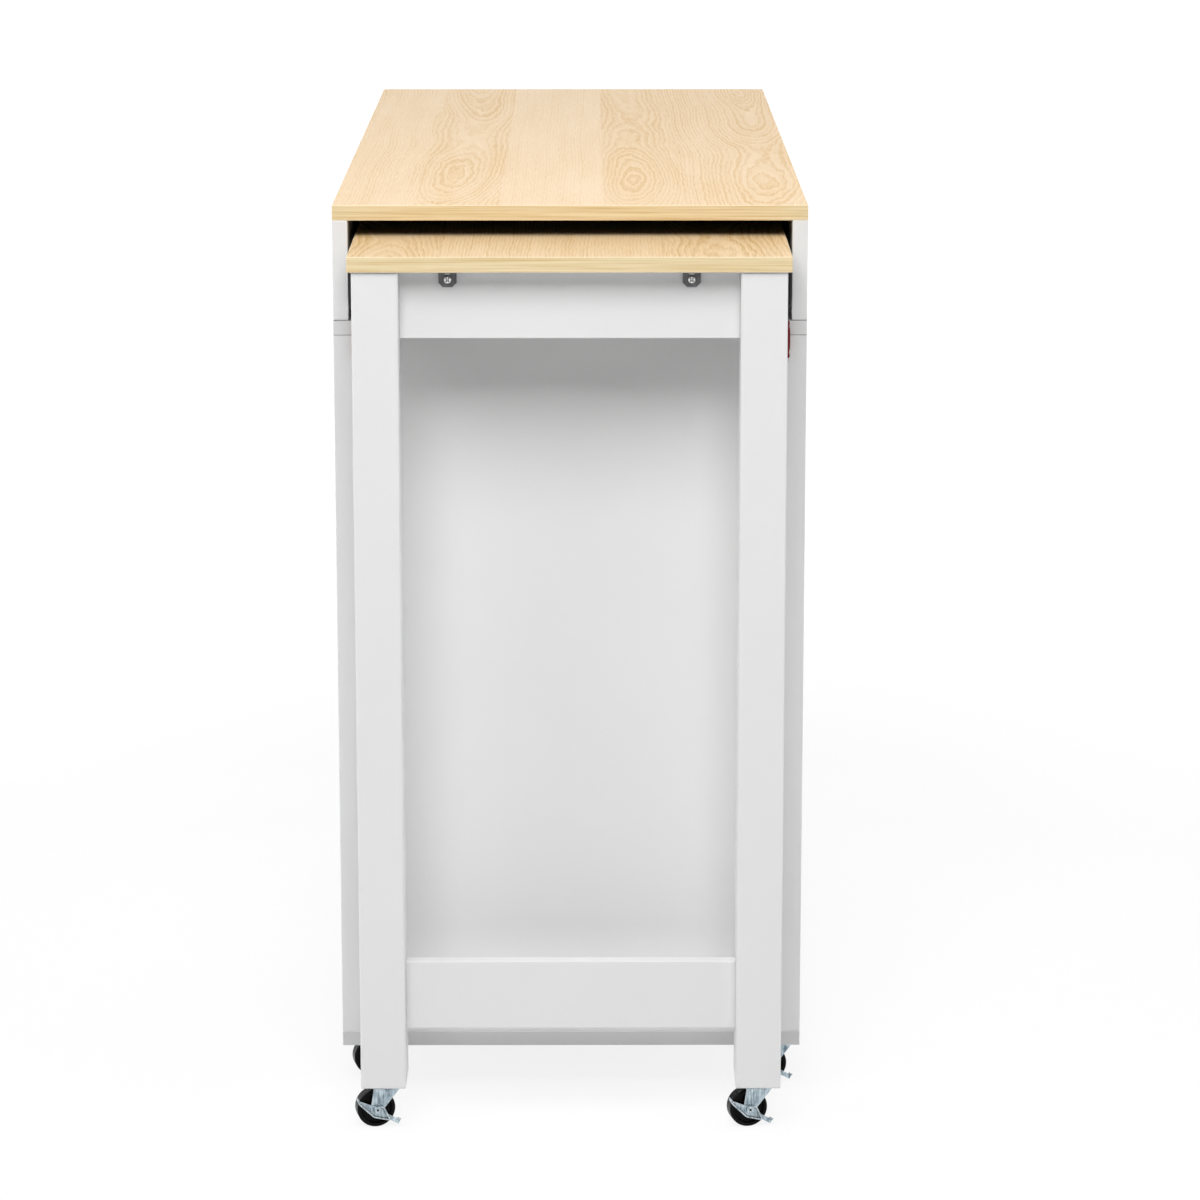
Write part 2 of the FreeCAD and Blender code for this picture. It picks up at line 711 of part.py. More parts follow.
def make_runners():
    """Telescopic runners: fixed channels, middle members and table members, nested in each other."""
    nest = "2 * (Size.runner_sheet + Size.runner_play)"
    middle_height = f"(Size.runner_height - {nest})"
    inner_height = f"({middle_height} - {nest})"
    lane = f"({INNER_WIDTH} / 2)"
    level = f"{TABLE_UNDER} - Size.runner_drop - Size.runner_height / 2"
    closed = f"({NEAR} - Size.runner_inset - Size.runner_length)"
    middle_gap = "(Size.runner_sheet + Size.runner_play)"
    members = {
        # name: (depth, height, web against the wall, distance off the wall, share of the pull)
        "runner_channels": ("Size.runner_space - Size.runner_lap", "Size.runner_height", True, "0", 0),
        "runner_middles": (f"Size.runner_space - Size.runner_lap - {middle_gap} + Size.runner_play",
                           middle_height, True, middle_gap, 0.5),
        "runner_slides": (f"Size.runner_space - 2 * {middle_gap}", inner_height, False,
                          f"2 * {middle_gap}", 1),
    }
    for name, (depth, height, web_first, off_wall, share) in members.items():
        pair = []
        for side in SIDES.values():
            member = channel(depth, height, web_first)
            turn = Rotation(ACROSS, 180) if side > 0 else Rotation()
            place(member, (f"{closed} + {share} * {PULLED_OUT}",
                           offset(side, f"{lane} - {off_wall}"), level), turn)
            pair.append(member)
        group(name, pair)


def make_bumpers():
    """Two rubber strips on the end of the carcass, where the legs stop."""
    strips = []
    for side in SIDES.values():
        strips.append(board("bumper", ("Size.bumper_thickness", "Size.bumper_width", "Size.bumper_height"),
                            (NEAR, mirrored(side, f"{LEG_SPAN} / 2 + Size.bumper_show - Size.bumper_width",
                                            "Size.bumper_width"),
                             f"{DECK_TOP} - Size.bumper_height"), "Size.bumper_ease"))
    group("stop_bumpers", strips)


# Heights inside a caster, measured down from its mounting face
AXLE_DROP = "(Size.caster_height - Size.wheel_diameter / 2)"
CROWN_UNDER = "(Size.crown_drop + Size.fork_sheet)"
FORK_WIDTH = "(Size.fork_gap + 2 * Size.fork_sheet)"
LEVER_FACE = f"({FORK_WIDTH} / 2 + Size.lever_gap)"

LEG_AXIS = f"({LEG_FRONT} - Size.leg_depth / 2)"
LEG_AXIS_OFF = f"({LEG_SPAN} / 2 - Size.leg_width / 2)"
FRONT_AXIS = offset(-1, "(Size.body_width / 2 - Size.front_caster_inset)")
BACK_AXIS = offset(1, "(Size.body_width / 2 - Size.back_caster_inset)")
CASTERS = {
    "near_left": (f"{NEAR} - Size.front_caster_setback", FRONT_AXIS),
    "near_right": (f"{NEAR} - Size.back_caster_setback", BACK_AXIS),
    "far_left": (f"{FAR} + Size.front_caster_setback", FRONT_AXIS),
    "far_right": (f"{FAR} + Size.back_caster_setback", BACK_AXIS),
    "leg_left": (LEG_AXIS, offset(-1, LEG_AXIS_OFF)),
    "leg_right": (LEG_AXIS, offset(1, LEG_AXIS_OFF)),
}


# Screws at the corners of a caster's plate, measured from its kingpin
SCREW_PLACES = [(f"({i} * Size.plate_screw_pitch / 2)", f"({j} * Size.plate_screw_pitch / 2)")
                for i in (-1, 1) for j in (-1, 1)]


def caster_plate():
    """A square top plate with rounded corners and a riveted kingpin."""
    plate = new_body("caster_plate")
    half = "Size.plate_length / 2"
    blank = add_box(plate, "Additive", ("Size.plate_length", "Size.plate_length", "Size.plate_thickness"),
                    (f"-{half}", f"-{half}", "-Size.plate_thickness"))
    dress_edges(plate, "Fillet", blank, along(UP), "Size.plate_corner")
    head_level = f"({CROWN_UNDER} + Size.race_gap + Size.kingpin_head_height)"
    add_cylinder(plate, "Additive", "Size.kingpin_diameter", f"{head_level} - Size.plate_thickness",
                 ("0", "0", f"-{head_level}"))
    add_cylinder(plate, "Additive", "Size.kingpin_head_diameter", "Size.kingpin_head_height",
                 ("0", "0", f"-{head_level}"))
    for x, y in SCREW_PLACES:
        add_cylinder(plate, "Subtractive", "Size.plate_screw_shank + 2 * Size.screw_play",
                     "Size.plate_thickness", (x, y, "-Size.plate_thickness"))
    return plate


def make_plates():
    """Top plates of the casters, each on four screws: one set on the carcass, one on the legs."""
    for label, names in (("body", ("near_left", "near_right", "far_left", "far_right")),
                         ("leg", ("leg_left", "leg_right"))):
        plates = []
        screws = []
        for name in names:
            x, y = CASTERS[name]
            plate = caster_plate()
            place(plate, (x, y, "Size.caster_height"))
            plates.append(plate)
            for off_x, off_y in SCREW_PLACES:
                fixing = screw("Size.plate_screw_head", "Size.plate_screw_head_height",
                               "Size.plate_screw_shank", "Size.plate_screw_length")
                place(fixing, (f"{x} + {off_x}", f"{y} + {off_y}",
                               "Size.caster_height - Size.plate_thickness"), Rotation(ACROSS, -90))
                screws.append(fixing)
        group(f"{label}_caster_plates", plates)
        group(f"{label}_caster_screws", screws)


def caster_fork(label):
    """A stamped fork: crown with a raised ball race, and two cheeks that taper to the axle."""
    fork = new_body(label)
    boss = "Size.cheek_boss_diameter / 2"
    side = outline(fork, "XZ_Plane", [
        ("-Size.crown_back", "-Size.crown_drop"),
        ("Size.crown_front", "-Size.crown_drop"),
        (f"Size.caster_trail + {boss}", f"-{AXLE_DROP}"),
        ("Size.caster_trail", f"-{AXLE_DROP} - {boss} * 0.5"),
        (f"Size.caster_trail - {boss} * 0.75", f"-{AXLE_DROP} - {boss} * 0.3"),
        ("-Size.crown_back", f"-{CROWN_UNDER}"),
    ])
    blank = pad(fork, side, FORK_WIDTH, both_ways=True)

    def crown_bend(edge):
        return along(ACROSS)(edge) and edge.BoundBox.ZMin > blank.Shape.BoundBox.ZMax - FLUSH

    def inner_bend(edge):
        return along(ACROSS)(edge) and abs(abs(edge.CenterOfMass.y) - SIZES["fork_gap"] / 2) < FLUSH

    dress_edges(fork, "Fillet", blank, crown_bend, "Size.fork_bend")
    add_cylinder(fork, "Additive", "Size.cheek_boss_diameter", FORK_WIDTH,
                 ("Size.caster_trail", f"-{FORK_WIDTH} / 2", f"-{AXLE_DROP}"), "y")
    add_cylinder(fork, "Additive", "Size.race_diameter",
                 "Size.crown_drop - Size.plate_thickness - Size.race_gap", ("0", "0", "-Size.crown_drop"))
    add_box(fork, "Subtractive", ("4 * Size.wheel_diameter", "Size.fork_gap", "Size.caster_height"),
            ("-2 * Size.wheel_diameter", "-Size.fork_gap / 2", f"-{CROWN_UNDER} - Size.caster_height"))
    dress_edges(fork, "Fillet", fork.Tip, inner_bend, "Size.fork_bend - Size.fork_sheet")
    add_cylinder(fork, "Subtractive", "Size.axle_diameter", FORK_WIDTH,
                 ("Size.caster_trail", f"-{FORK_WIDTH} / 2", f"-{AXLE_DROP}"), "y")
    add_cylinder(fork, "Subtractive", "Size.kingpin_diameter + 2 * Size.running_play", "Size.caster_height",
                 ("0", "0", "-Size.caster_height"))
    return fork


def caster_wheel(label):
    """A moulded wheel with a dished web on both faces."""
    bore = "Size.axle_diameter / 2 + Size.running_play"
    half = "Size.wheel_width / 2"
    web = f"{half} - Size.wheel_dish"
    rim = "Size.wheel_diameter / 2"
    face = [
        (bore, f"{half}"),
        ("Size.hub_diameter / 2", f"{half}"),
        ("Size.hub_diameter / 2 + Size.wheel_slope", web),
        (f"{rim} - Size.wheel_rim - Size.wheel_slope", web),
        (f"{rim} - Size.wheel_rim", f"{half}"),
        (rim, f"{half}"),
    ]
    other = [(radius, f"-({level})") for radius, level in reversed(face)]
    wheel = turned(label, face + other)
    blank = wheel.Tip

    def tread_edge(edge):
        widest = edge.BoundBox.XLength > blank.Shape.BoundBox.XLength - FLUSH
        return widest and edge.Curve.TypeId == "Part::GeomCircle"

    dress_edges(wheel, "Fillet", blank, tread_edge, "Size.wheel_round")
    return wheel


def caster_axle(label, braked):
    """A riveted axle through both cheeks, and through the lever where there is one."""
    shank = "Size.axle_diameter / 2"
    head = "Size.axle_head_diameter / 2"
    cheek = f"{FORK_WIDTH} / 2"
    outer = f"{LEVER_FACE} + Size.lever_sheet + Size.lever_gap" if braked else cheek
    axle = turned(label, [
        ("0", f"-{cheek} - Size.axle_head_height"),
        (head, f"-{cheek} - Size.axle_head_height"),
        (head, f"-{cheek}"),
        (shank, f"-{cheek}"),
        (shank, outer),
        (head, outer),
        (head, f"{outer} + Size.axle_head_height"),
        ("0", f"{outer} + Size.axle_head_height"),
    ])
    dress_edges(axle, "Fillet", axle.Tip, rims(axle.Tip), "Size.axle_head_round")
    add_cylinder(axle, "Subtractive", "Size.rivet_bore", "Size.rivet_depth",
                 ("0", f"{outer} + Size.axle_head_height - Size.rivet_depth", "0"), "y")
    return axle


SHOE_RADIUS = "(Size.wheel_diameter / 2 + Size.shoe_gap)"
LEVER_TAIL = f"(sqrt({SHOE_RADIUS}^2 - Size.lever_rise^2) + Size.lever_sheet)"


def corner_at(x):
    """Choose the edges through a sheet that stand at a place along it."""
    def test(edge):
        return along(DEEP)(edge) and abs(edge.CenterOfMass.x - x) < FLUSH
    return test


def lever_pan(lever):
    """The lever's rimmed pan: a bent kite about the axle, open on its outer face and along its top."""
    kite = outline(lever, "XZ_Plane", [
        (LEVER_TAIL, "Size.lever_rise + Size.shoe_height"),
        (LEVER_TAIL, "Size.lever_rise - Size.lever_tail_lap"),
        ("Size.lever_belly", "-Size.lever_belly_drop"),
        ("-Size.lever_nose", "-Size.lever_nose_drop"),
        ("-Size.lever_shoulder", "Size.lever_shoulder_rise"),
        ("Size.lever_waist", "Size.lever_waist_rise"),
    ])
    pan = pad(lever, kite, "Size.lever_rim", reverse=True)
    belly = corner_at(SIZES["lever_belly"])
    shoulder = corner_at(-SIZES["lever_shoulder"])
    waist = corner_at(SIZES["lever_waist"])

    def small_corner(edge):
        return along(DEEP)(edge) and not any(other(edge) for other in (belly, shoulder, waist))

    for name, chosen in (("corner", small_corner), ("belly", belly), ("shoulder", shoulder)):
        pan = dress_edges(lever, "Fillet", pan, chosen, f"Size.lever_{name}_round")

    def outer_face(face):
        return face.BoundBox.YMin > pan.Shape.BoundBox.YMax - FLUSH

    hollow_out(lever, pan, outer_face, "Size.lever_sheet")
    # The rim is cut away along the top, between the shoulder and the tail
    inner = "2 * Size.lever_sheet"
    clear = "2 * Size.lever_rise"
    mouth = outline(lever, "XZ_Plane", [
        ("-Size.lever_shoulder / 2", clear),
        ("-Size.lever_shoulder / 2", f"Size.lever_shoulder_rise - {inner}"),
        ("Size.lever_waist", f"Size.lever_waist_rise - {inner}"),
        (f"{LEVER_TAIL} - {inner}", "Size.lever_rise"),
        (f"{LEVER_TAIL} - {inner}", clear),
    ])
    mouth.setExpression("AttachmentOffset.Base.z", "-Size.lever_sheet")
    pocket(lever, mouth, "Size.lever_rim")


def slanted(sketch):
    """Turn a sketch about the lever's nose to the slope of the foot tongue."""
    sketch.AttachmentOffset = Placement(Vector(), Rotation(UP, SIZES["tongue_angle"]))
    sketch.setExpression("AttachmentOffset.Base.x", "-Size.lever_nose")
    sketch.setExpression("AttachmentOffset.Base.y", "-Size.lever_nose_drop")
    sketch.setExpression("AttachmentOffset.Rotation.Angle", "Size.tongue_angle")
    return sketch


def brake_lever(label):
    """A stamped brake lever: a rimmed pan on the axle, a shoe over the tread and a foot tab."""
    lever = new_body(label)
    sheet = "Size.lever_sheet"
    lever_pan(lever)
    # Foot tongue with a step up at its end, and the tab turned outwards from that step
    end = "-Size.tongue_length"
    step = "Size.tab_width - Size.tongue_length"
    top = "Size.tongue_width + Size.tab_rise"
    tongue = outline(lever, "XZ_Plane", [
        ("Size.tongue_root", "0"),
        (end, "0"),
        (end, top),
        (step, top),
        (step, "Size.tongue_width"),
        ("Size.tongue_root", "Size.tongue_width"),
    ])
    pad(lever, slanted(tongue), sheet, reverse=True)
    tab = outline(lever, "XZ_Plane", [
        (end, top),
        (end, f"{top} - {sheet}"),
        (step, f"{top} - {sheet}"),
        (step, top),
    ])
    pad(lever, slanted(tab), "Size.tab_depth", reverse=True)
    # Shoe: a lip at the tail that reaches in over the tread
    add_box(lever, "Additive", (sheet, f"Size.shoe_depth + {sheet}", "Size.shoe_height"),
            (f"{LEVER_TAIL} - {sheet}", "-Size.shoe_depth", "Size.lever_rise"))
    add_cylinder(lever, "Subtractive", "Size.axle_diameter + 2 * Size.running_play", "Size.lever_rim",
                 ("0", "0", "0"), "y")
    return lever


def make_casters():
    """Six swivel casters, each turned to its resting heading; four carry a brake lever."""
    for name, (x, y) in CASTERS.items():
        heading = HEADINGS[name]
        turn = Rotation(UP, heading)
        trail = (math.cos(math.radians(heading)), math.sin(math.radians(heading)))
        side = (-trail[1], trail[0])
        axle = (f"{x} + {trail[0]:.9f} * Size.caster_trail", f"{y} + {trail[1]:.9f} * Size.caster_trail",
                "Size.wheel_diameter / 2")
        fork = keep(caster_fork(f"{name}_fork"))
        place(fork, (x, y, "Size.caster_height"), turn)
        place(keep(caster_wheel(f"{name}_wheel")), axle, turn)
        place(keep(caster_axle(f"{name}_axle", name in BRAKED)), axle, turn)
        if name in BRAKED:
            lever = keep(brake_lever(f"{name}_brake_lever"))
            place(lever, (f"{axle[0]} + {side[0]:.9f} * {LEVER_FACE}",
                          f"{axle[1]} + {side[1]:.9f} * {LEVER_FACE}", axle[2]), turn)


def check_and_write():
    """Stop on any failed feature or bad solid, then write one file per sub-part."""
    doc.recompute()
    failed = [item.Label for item in doc.Objects if {"Invalid", "Error"} & set(item.State)]
    failed += [part.Label for part in nodes if part.Shape.isNull() or not part.Shape.isValid()]
    if failed:
        raise RuntimeError(f"failed: {failed}")
    os.makedirs("parts", exist_ok=True)
    for part in nodes:
        part.Shape.exportStep(f"parts/{part.Label}.step")
    print(f"{len(nodes)} sub-parts written")


make_sheet()
make_carcass()
make_shelves()
make_doors()
make_table()
make_brackets()
make_runners()
make_bumpers()
make_plates()
make_casters()
check_and_write()
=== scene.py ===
"""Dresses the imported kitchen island: wood prints, white laminate, plated casters and fittings.

All sizes are metres in the part's own frame: X runs along the island towards the pull-out table,
the front with the doors faces -Y, and Z is up from the floor.
"""
from __future__ import annotations

import json
import logging
import math
from dataclasses import dataclass
from enum import IntEnum
from typing import Iterable, Sequence

import bmesh
import bpy
from mathutils import Euler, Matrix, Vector

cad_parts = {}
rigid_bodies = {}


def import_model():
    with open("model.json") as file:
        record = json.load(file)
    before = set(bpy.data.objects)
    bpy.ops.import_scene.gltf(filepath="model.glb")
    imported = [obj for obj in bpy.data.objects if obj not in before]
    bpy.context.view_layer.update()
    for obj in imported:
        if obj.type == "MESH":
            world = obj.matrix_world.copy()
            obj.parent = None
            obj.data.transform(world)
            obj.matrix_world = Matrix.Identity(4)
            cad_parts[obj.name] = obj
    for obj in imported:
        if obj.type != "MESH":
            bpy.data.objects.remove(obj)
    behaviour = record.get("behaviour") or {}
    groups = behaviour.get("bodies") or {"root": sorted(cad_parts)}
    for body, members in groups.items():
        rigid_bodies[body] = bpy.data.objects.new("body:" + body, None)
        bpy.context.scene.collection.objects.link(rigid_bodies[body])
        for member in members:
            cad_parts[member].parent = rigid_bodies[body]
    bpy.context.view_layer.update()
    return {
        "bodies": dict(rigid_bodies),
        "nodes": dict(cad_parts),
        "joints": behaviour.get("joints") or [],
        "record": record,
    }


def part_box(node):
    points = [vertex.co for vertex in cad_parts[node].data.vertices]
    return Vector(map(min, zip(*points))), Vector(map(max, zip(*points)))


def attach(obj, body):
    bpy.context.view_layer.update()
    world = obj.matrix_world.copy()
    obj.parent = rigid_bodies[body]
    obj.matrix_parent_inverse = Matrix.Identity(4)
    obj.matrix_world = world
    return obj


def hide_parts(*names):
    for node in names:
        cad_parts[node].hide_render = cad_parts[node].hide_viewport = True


LOG = logging.getLogger("kitchen_island")
MM = 0.001

# Nearly all of a noise lies between these.
NOISE_SPREAD = (0.3, 0.7)
# A face that looks less than this up or down is an edge of the board.
EDGE_FACING = 0.5

Colour = tuple[float, float, float]
Cell = tuple[float, float, float]
Point = tuple[float, float, float]
Range = tuple[float, float]
Socket = bpy.types.NodeSocket
Material = bpy.types.Material


class Axis(IntEnum):
    """A direction of the part's frame, by its place in a vector."""

    ALONG = 0
    ACROSS = 1
    UP = 2


class NodeSheet:
    """A node tree, with short calls to add nodes and join them."""

    def __init__(self, tree: bpy.types.NodeTree) -> None:
        """Take up a tree.

        Args:
            tree: The tree to add to.
        """
        self.tree = tree

    def add(self, kind: str, inputs: dict[str | int, object] | None = None,
            **settings: object) -> bpy.types.Node:
        """Add a node.

        Args:
            kind: The node's type, without the leading ShaderNode where it has that.
            inputs: Values or sockets for the node's inputs, by name or number.
            settings: Properties of the node itself.

        Returns:
            The new node.
        """
        whole = kind.startswith(("GeometryNode", "FunctionNode", "NodeGroup"))
        node = self.tree.nodes.new(kind if whole else f"ShaderNode{kind}")
        for key, value in settings.items():
            setattr(node, key, value)
        for key, value in (inputs or {}).items():
            self.feed(value, node.inputs[key])
        return node

    def feed(self, value: object, socket: Socket) -> None:
        """Join a socket to an input, or set the input to a plain value.

        Args:
            value: An output socket or a plain value.
            socket: The input to feed.
        """
        if isinstance(value, Socket):
            self.tree.links.new(value, socket)
        else:
            socket.default_value = value

    def calc(self, operation: str, *terms: object) -> Socket:
        """Work out a number.

        Args:
            operation: The name of the sum, such as MULTIPLY.
            terms: Sockets or numbers.

        Returns:
            The socket of the result.
        """
        return self.add("Math", dict(enumerate(terms)), operation=operation).outputs[0]

    def remap(self, value: object, low: float, high: float, to_low: object,
              to_high: object) -> Socket:
        """Stretch a number from one range to another, held to its ends.

        Args:
            value: The number's socket.
            low: Start of the range that it comes in.
            high: End of that range.
            to_low: Start of the range that it leaves in, a number or a socket.
            to_high: End of that range.

        Returns:
            The socket of the result.
        """
        ends = {"From Min": low, "From Max": high, "To Min": to_low, "To Max": to_high}
        return self.add("MapRange", {"Value": value, **ends}).outputs["Result"]

    def part(self, vector: object, name: str) -> Socket:
        """Give the X, Y or Z of a vector."""
        return self.add("SeparateXYZ", {0: vector}).outputs[name]


class ShaderSheet(NodeSheet):
    """The node tree of one material.

    Rim match is how far a softened normal agrees with the plain one, from a sharp edge to a face.
    Open share is how much of its surroundings a point sees, from a recess to a face.
    """

    rim_match: Range = (0.76, 0.97)
    rim_samples: int = 6
    open_share: Range = (0.50, 0.97)
    open_samples: int = 8

    def __init__(self, name: str) -> None:
        """Start a material with a bare surface shader.

        Args:
            name: The material's name.
        """
        self.material = bpy.data.materials.new(name)
        self.material.use_nodes = True
        super().__init__(self.material.node_tree)
        self.surface = self.tree.nodes["Principled BSDF"]

    def shade(self, **values: object) -> None:
        """Feed inputs of the surface shader, named with underscores for spaces."""
        for name, value in values.items():
            self.feed(value, self.surface.inputs[name.replace("_", " ")])

    def spread(self, noise: object, low: float, high: float) -> Socket:
        """Stretch a noise, which keeps to the middle of its range, to run from low to high."""
        return self.remap(noise, *NOISE_SPREAD, low, high)

    def blend(self, factor: object, first: object, second: object) -> Socket:
        """Blend two colours.

        Args:
            factor: Share of the second colour.
            first: The colour below.
            second: The colour above.

        Returns:
            The socket of the blended colour.
        """
        node = self.add("Mix", data_type="RGBA")
        sockets = {socket.identifier: socket for socket in (*node.inputs, *node.outputs)}
        self.feed(factor, sockets["Factor_Float"])
        self.feed(rgba(first), sockets["A_Color"])
        self.feed(rgba(second), sockets["B_Color"])
        return sockets["Result_Color"]

    def place(self) -> Socket:
        """Give the socket of the point on the piece, in metres."""
        return self.add("TexCoord").outputs["Object"]

    def facing(self) -> Socket:
        """Give the socket of the direction that the surface faces, on the piece."""
        return self.add("TexCoord").outputs["Normal"]

    def stretched(self, point: object, cell: Cell) -> Socket:
        """Divide a point by a cell, so that a pattern of unit size fills that cell.

        Args:
            point: The point's socket.
            cell: The cell's three sides.

        Returns:
            The socket of the divided point.
        """
        return self.add("VectorMath", {0: point, 1: cell}, operation="DIVIDE").outputs[0]

    def noise(self, point: object, scale: float = 1.0, detail: float = 2.0,
              rough: float = 0.5) -> Socket:
        """Give a smooth random number over a point.

        Args:
            point: The point's socket.
            scale: Repeats in a unit.
            detail: Octaves of finer noise.
            rough: Share of the finer octaves.

        Returns:
            The socket of the number, from 0 to 1.
        """
        values = {"Vector": point, "Scale": scale, "Detail": detail, "Roughness": rough}
        return self.add("TexNoise", values).outputs["Fac"]

    def rim(self, reach: float) -> Socket:
        """Tell the edges of a piece from its faces.

        Args:
            reach: How far an edge counts, in metres.

        Returns:
            The socket of a number from 0 on a face to 1 at a sharp edge.
        """
        eased = self.add("Bevel", {"Radius": reach}, samples=self.rim_samples).outputs[0]
        plain = self.add("NewGeometry").outputs["Normal"]
        match = self.add("VectorMath", {0: eased, 1: plain}, operation="DOT_PRODUCT")
        return self.remap(match.outputs["Value"], *self.rim_match, 1.0, 0.0)

    def hollow(self, reach: float) -> Socket:
        """Tell recesses of a piece from its open faces.

        Args:
            reach: How far the piece's own walls count, in metres.

        Returns:
            The socket of a number from 0 on an open face to 1 deep in a recess.
        """
        node = self.add("AmbientOcclusion", {"Distance": reach}, only_local=True,
                        samples=self.open_samples)
        return self.remap(node.outputs["AO"], *self.open_share, 1.0, 0.0)

    def relief(self, height: object, depth: float) -> None:
        """Raise the surface by a number from 0 to 1.

        Args:
            height: The number's socket.
            depth: How far 1 stands above 0, in metres.
        """
        bump = self.add("Bump", {"Height": height, "Distance": depth, "Strength": 1.0})
        self.shade(Normal=bump.outputs["Normal"])


class FixingSheet(NodeSheet):
    """A geometry node tree that sets a shape on points, with inputs for its sizes and finishes."""

    def __init__(self, name: str) -> None:
        """Start a tree with its input and output.

        Args:
            name: The tree's name.
        """
        super().__init__(bpy.data.node_groups.new(name, "GeometryNodeTree"))
        self.identifiers: dict[str, str] = {}
        self.entry = self.add("NodeGroupInput")
        self.points = self.take("Points", "NodeSocketGeometry")
        self.tree.interface.new_socket("Geometry", in_out="OUTPUT",
                                       socket_type="NodeSocketGeometry")
        self.exit = self.add("NodeGroupOutput")

    def take(self, name: str, kind: str = "NodeSocketFloat") -> Socket:
        """Add a named input.

        Args:
            name: The input's name.
            kind: The input's type.

        Returns:
            The socket that brings it into the tree.
        """
        item = self.tree.interface.new_socket(name, in_out="INPUT", socket_type=kind)
        self.identifiers[name] = item.identifier
        return self.entry.outputs[name]

    def triple(self, x: object, y: object, z: object) -> Socket:
        """Put three numbers or sockets together."""
        return self.add("CombineXYZ", {0: x, 1: y, 2: z}).outputs[0]


def rgba(colour: object) -> object:
    """Give a plain colour its fourth number, and leave a socket as it is."""
    return (*colour, 1.0) if isinstance(colour, tuple) else colour


def toned(colour: Colour, share: float) -> Colour:
    """Make a colour darker or paler by a share."""
    return tuple(channel * share for channel in colour)


@dataclass(frozen=True)
class Stave:
    """One strip of a wood print.

    Start and heart are shares of the board's width: where the strip begins, and where its growth
    rings are centred. Lean tips its arches towards one end of the board or the other, around 0.5.
    Tone darkens the strip, and figure is the strength of its growth lines.
    """

    start: float
    heart: float
    lean: float
    tone: float
    figure: float


